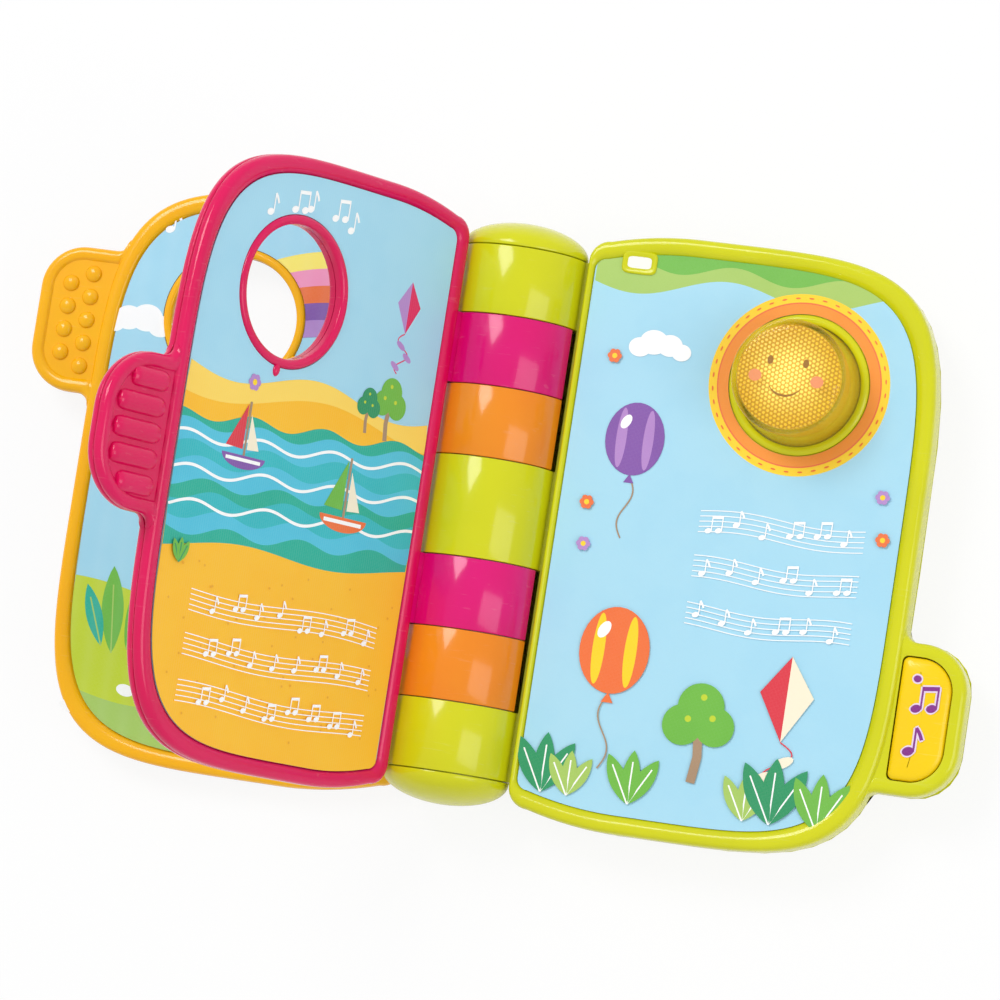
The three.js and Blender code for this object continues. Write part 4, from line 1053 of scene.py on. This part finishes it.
    def base(self):
        """The sheet itself: its face, its edges and its back, round the hole."""
        hole = towards(self.field, LAMP, self.hole)
        corners = ((self.field, 0.0), (hole, 0.0), (hole, -SHEET_THICKNESS), (self.field, -SHEET_THICKNESS))
        rows = np.stack([ring(contour, height) for contour, height in corners])
        index = np.arange(rows.size // 3).reshape(rows.shape[:2])
        return rows.reshape(-1, 3), closed_quads(np.vstack([index, index[:1]]))[:, ::-1]

    def build(self, name, paper, place, body, node, slot, flip):
        """Puts sheet and inks into one mesh; flip turns the picture over for a face that looks down."""
        sheet, quads = self.base()
        points = np.vstack([sheet, *self.points])
        faces = quads.tolist() + [[corner + len(sheet) for corner in face] for face in self.faces]
        if flip:
            points = points * [1, 1, -1]
            faces = [face[::-1] for face in faces]
        colours = [np.tile(linear(paper), (len(quads), 1)), *self.colours]
        ink_mesh(name, place(points), faces, colours, body, [node])


def wave(height, swing, length, phase=0.0, slope=0.0):
    """A height curve: a level, a slope and a sine."""
    return lambda x: height + slope * (x - 80) + swing * np.sin(2 * np.pi * x / length + phase)


def level(height):
    return lambda x: np.full(np.shape(x), float(height))


def panel_picture():
    """Garden in the sky: a hilly green edge above, balloons and a kite, staves for the song, bushes below."""
    art = Picture(HOUSING_LEFT, PANEL_RIM, "lamp")
    top = wave(84, 3.4, 62, 0.6, 0.02)
    art.band(top, level(200), GRASS)
    art.band(wave(90, 2.2, 38, 2.0), level(200), LEAF)
    art.hoop(*LAMP, 23.9, 27.3, RING_ORANGE)
    art.hoop(*LAMP, 27.3, 27.8, CORAL)
    art.hoop(*LAMP, 27.8, 30.6, RING_YELLOW)
    for k in range(40):
        angle = k * math.pi / 20
        art.oval(LAMP[0] + 29.2 * math.cos(angle), LAMP[1] + 29.2 * math.sin(angle), 0.9, 0.28, CORAL,
                 turn=angle + math.pi / 2, count=10)
    art.cloud(52, 62, 7)
    art.balloon(48, 31, 11, VIOLET, MAUVE)
    art.stave(74, 3, 56, rows=3, spacing=2.2, notes=6, seed=3)
    art.band(wave(-84, 3, 46, 0.4), level(-200), LEAF)
    art.band(wave(-90, 2.4, 30, 1.9), level(-200), PINE)
    art.balloon(52, -40, 13, CORAL, RING_YELLOW, sway=-2.4)
    art.kite(112, -47, 13, (RED, CREAM))
    art.tree(84, -80, 11, LEAF)
    bushes = ((34, 20, PINE), (43, 15, GRASS), (64, 18, LEAF), (103, 16, GRASS), (112, 22, PINE), (128, 19, LEAF))
    for x, height, colour in bushes:
        for turn in (-0.5, 0.0, 0.5):
            art.petal(x, -90, height, height * 0.34, math.pi / 2 + turn, colour, WHITE)
    for x, y, colour in ((35, 8, CORAL), (36, -6, MAUVE), (37, 58, CORAL), (134, 22, MAUVE), (136, 8, CORAL)):
        art.flower(x, y, 2.6, colour)
    art.build("panel_picture", SKY, lambda points: points + [0, 0, PANEL_FACE], "housing", "panel_print",
              "printed_sheet", flip=False)


def shore_picture(art):
    """Sea shore: pale dunes and round trees, water in bands with two toy boats, and sand with staves."""
    art.kite(46, 62, 8, (PINK, MAUVE))
    tune = ((79, 80.5, False), (87, 83, True), (99, 83.5, False), (106, 82, True), (117, 79, False))
    for place, height, pair in tune:
        art.note(place, height, 3.0, WHITE, pair=pair)
    art.band(level(-100), wave(26, 3.5, 78, 1.2), PALE_SAND)
    art.band(level(-100), wave(19, 4.0, 104, 3.2), SAND)
    art.tree(48, 16, 7, LEAF)
    art.tree(58, 17, 5, PINE)
    art.flower(112, 24, 3, MAUVE)
    bands = [(13, TEAL), (10, WATER), (3, AQUA), (-2, WATER), (-9, TEAL), (-13, AQUA), (-19, WATER), (-24, TEAL)]
    for k, (height, colour) in enumerate(bands):
        art.band(level(-100), wave(height, 1.7, 34, 0.8 * k, -0.06), colour)
    for k, height in enumerate((6, -5, -16)):
        under, over = (wave(height + half, 1.7, 34, 0.7 * k + 1, -0.06) for half in (-0.5, 0.5))
        art.band(under, over, WHITE)
    art.band(level(-100), wave(-29, 2.0, 90, 0.3, -0.05), SAND)
    art.boat(112, 0, 8, VIOLET, RED, WHITE)
    art.boat(62, -12, 9, CORAL, LEAF, WHITE)
    art.specks(-88, -34, SPECK, 60, seed=5)
    art.stave(38, -52, 88, rows=3, spacing=2.1, notes=8, seed=11)
    for turn in (-0.45, 0.0, 0.45):
        art.petal(134, -38, 8, 3, math.pi / 2 + turn, LEAF, PINE)


def meadow_picture(art):
    """Meadow: clouds, a bow of coloured stripes beside the hole, and a lime field with petals and flowers."""
    art.cloud(134, 50, 8)
    art.cloud(52, 60, 9)
    art.note(112, 86, 3.2, WHITE, pair=True)
    art.note(128, 84, 3.2, WHITE)
    bow = ((84, (255, 236, 110)), (78, (245, 150, 190)), (72, CORAL), (66, VIOLET), (60, MAUVE))
    for height, colour in bow:
        arch = lambda x, top=height: top - 0.008 * (x - 62) ** 2
        art.band(lambda x, arch=arch: arch(x) - 6, arch, colour, end=LAMP[0])
    art.band(level(-100), wave(-44, 5, 120, 0.4), MEADOW)
    art.band(level(-100), wave(-78, 3, 80, 2.0), GRASS)
    for x, y, length, turn in ((120, -62, 32, 1.75), (125, -64, 30, 1.45), (129, -62, 22, 1.2), (114, -66, 24, 2.1)):
        art.petal(x, y, length, length * 0.26, turn, LEAF if length > 28 else TEAL, GRASS)
    for x, y in ((118, -76), (137, -84), (106, -62)):
        art.oval(x, y, 3.2, 2.0, WHITE, turn=0.2)
    for x, y, colour in ((112, -70, RED), (90, -60, MAUVE), (60, -66, CORAL), (40, -80, RED)):
        art.flower(x, y, 4.2, colour)
    art.stave(36, -16, 74, rows=2, spacing=2.2, notes=6, seed=21)


def park_picture(art):
    """Park: balloons over hills, for the side of a page that lies face down."""
    art.cloud(52, 66, 8)
    art.balloon(54, 20, 11, RED, RING_YELLOW)
    art.balloon(118, -6, 10, VIOLET, MAUVE)
    art.band(level(-100), wave(-46, 5, 96, 1.0), GRASS)
    art.band(level(-100), wave(-66, 4, 70, 2.4), LEAF)
    art.tree(46, -58, 9, PINE)
    art.tree(112, -62, 8, PINE)
    art.stave(66, -74, 56, rows=1, notes=6, seed=31)


def build_page_pictures():
    pictures = {
        ("pink_page", "front"): shore_picture, ("pink_page", "back"): park_picture,
        ("orange_page", "front"): meadow_picture, ("orange_page", "back"): park_picture,
    }
    for (name, side), draw in pictures.items():
        page = PAGES[name]
        front = side == "front"
        art = Picture(page["root"], PAGE_RIM, "page", facing=-1 if front else 1)
        draw(art)
        height = page["lift"] + (PRINT_DEPTH if front else PAGE_THICKNESS - PRINT_DEPTH)
        place = lambda points, page=page, height=height: to_row(points + [0, 0, height], page["angle"])
        art.build(f"{name}_picture_{side}", SKY, place, name, f"{name}_print_{side}", "printed_sheet", flip=front)


def build_button_prints():
    """Purple notes with a pale halo on the note key, and a plain smile on the lamp."""
    purple, halo = (130, 25, 135), (236, 214, 238)
    key = Picture(HOUSING_LEFT, PANEL_RIM, "lamp")
    for grow, colour in ((0.55, halo), (0.0, purple)):
        key.oval(154.2, -35.6, 1.3 + grow, 1.15 + grow, colour, count=20)
        for x, y, size, pair in ((155.0, -45.4, 3.4, True), (154.4, -59.6, 3.8, False)):
            for dx, dy in ((-grow, 0), (grow, 0), (0, grow), (0, -grow)) if grow else ((0, 0),):
                key.note(x + dx, y + dy, size, colour, pair=pair)
    decal_mesh("note_key_print", key, HOUSING_TOP - 0.62, "note_key")
    smile = Picture(HOUSING_LEFT, PANEL_RIM, "lamp")
    x, y = LAMP
    for side in (-1, 1):
        smile.oval(x + side * 6.0, y + 4.4, 1.0, 1.5, (150, 96, 20), count=24)
        smile.oval(x + side * 10.4, y - 1.2, 2.2, 2.0, (240, 150, 110), count=24)
    turn = np.radians(np.linspace(205, 335, 30))
    mouth = np.column_stack([x + 6.0 * np.cos(turn), y - 1.5 + 5.4 * np.sin(turn)])
    smile.line(mouth, 0.8, (150, 96, 20), taper=True)
    decal_mesh("lamp_smile", smile, LENS_TOP - 0.04, "lamp_button")


def decal_mesh(name, art, height, body):
    """Only the inks of a picture, at one height."""
    ink_mesh(name, np.vstack(art.points) + [0, 0, height], art.faces, art.colours, body, ())


# ---------------------------------------------------------------- carried-over nodes
def paint_nodes():
    """Materials for the CAD nodes that show as they are."""
    finishes = {
        "spine_core": beige, "page_window": white_plastic, "power_slider": dark_plastic,
        "battery_door_screw": steel, "battery_1": cell_sleeve, "battery_2": cell_sleeve,
        "battery_contact_inner": steel, "battery_contact_outer": steel, "circuit_board": board_green,
        "lamp_emitter": emitter_white, "lamp_switch_dome": dark_rubber, "speaker_frame": dark_plastic,
        "speaker_magnet": magnet_metal,
    }
    finishes.update({f"case_screw_{k}": steel for k in range(1, 7)})
    for node, material in finishes.items():
        mesh = frame["nodes"][node].data
        mesh.materials.clear()
        mesh.materials.append(material)
    smooth_copy("battery_door", "battery_door_cover", lime)


def build():
    scene = bpy.context.scene
    scene.view_settings.view_transform = "Standard"
    add_camera()
    add_world()
    add_floor()
    add_lamp("key softbox", (-0.7, 0.9, 1.7), (0, 0, 0), (0.7, 0.9), 17)
    add_lamp("side softbox", (1.3, -0.2, 1.1), (0, 0, 0), (0.7, 1.2), 7)
    build_housing()
    build_caps()
    build_lamp()
    build_note_button()
    build_page("pink_page", pink, sleeve_pink)
    build_page("orange_page", page_orange, sleeve_orange)
    panel_picture()
    build_page_pictures()
    build_button_prints()
    paint_nodes()


build()
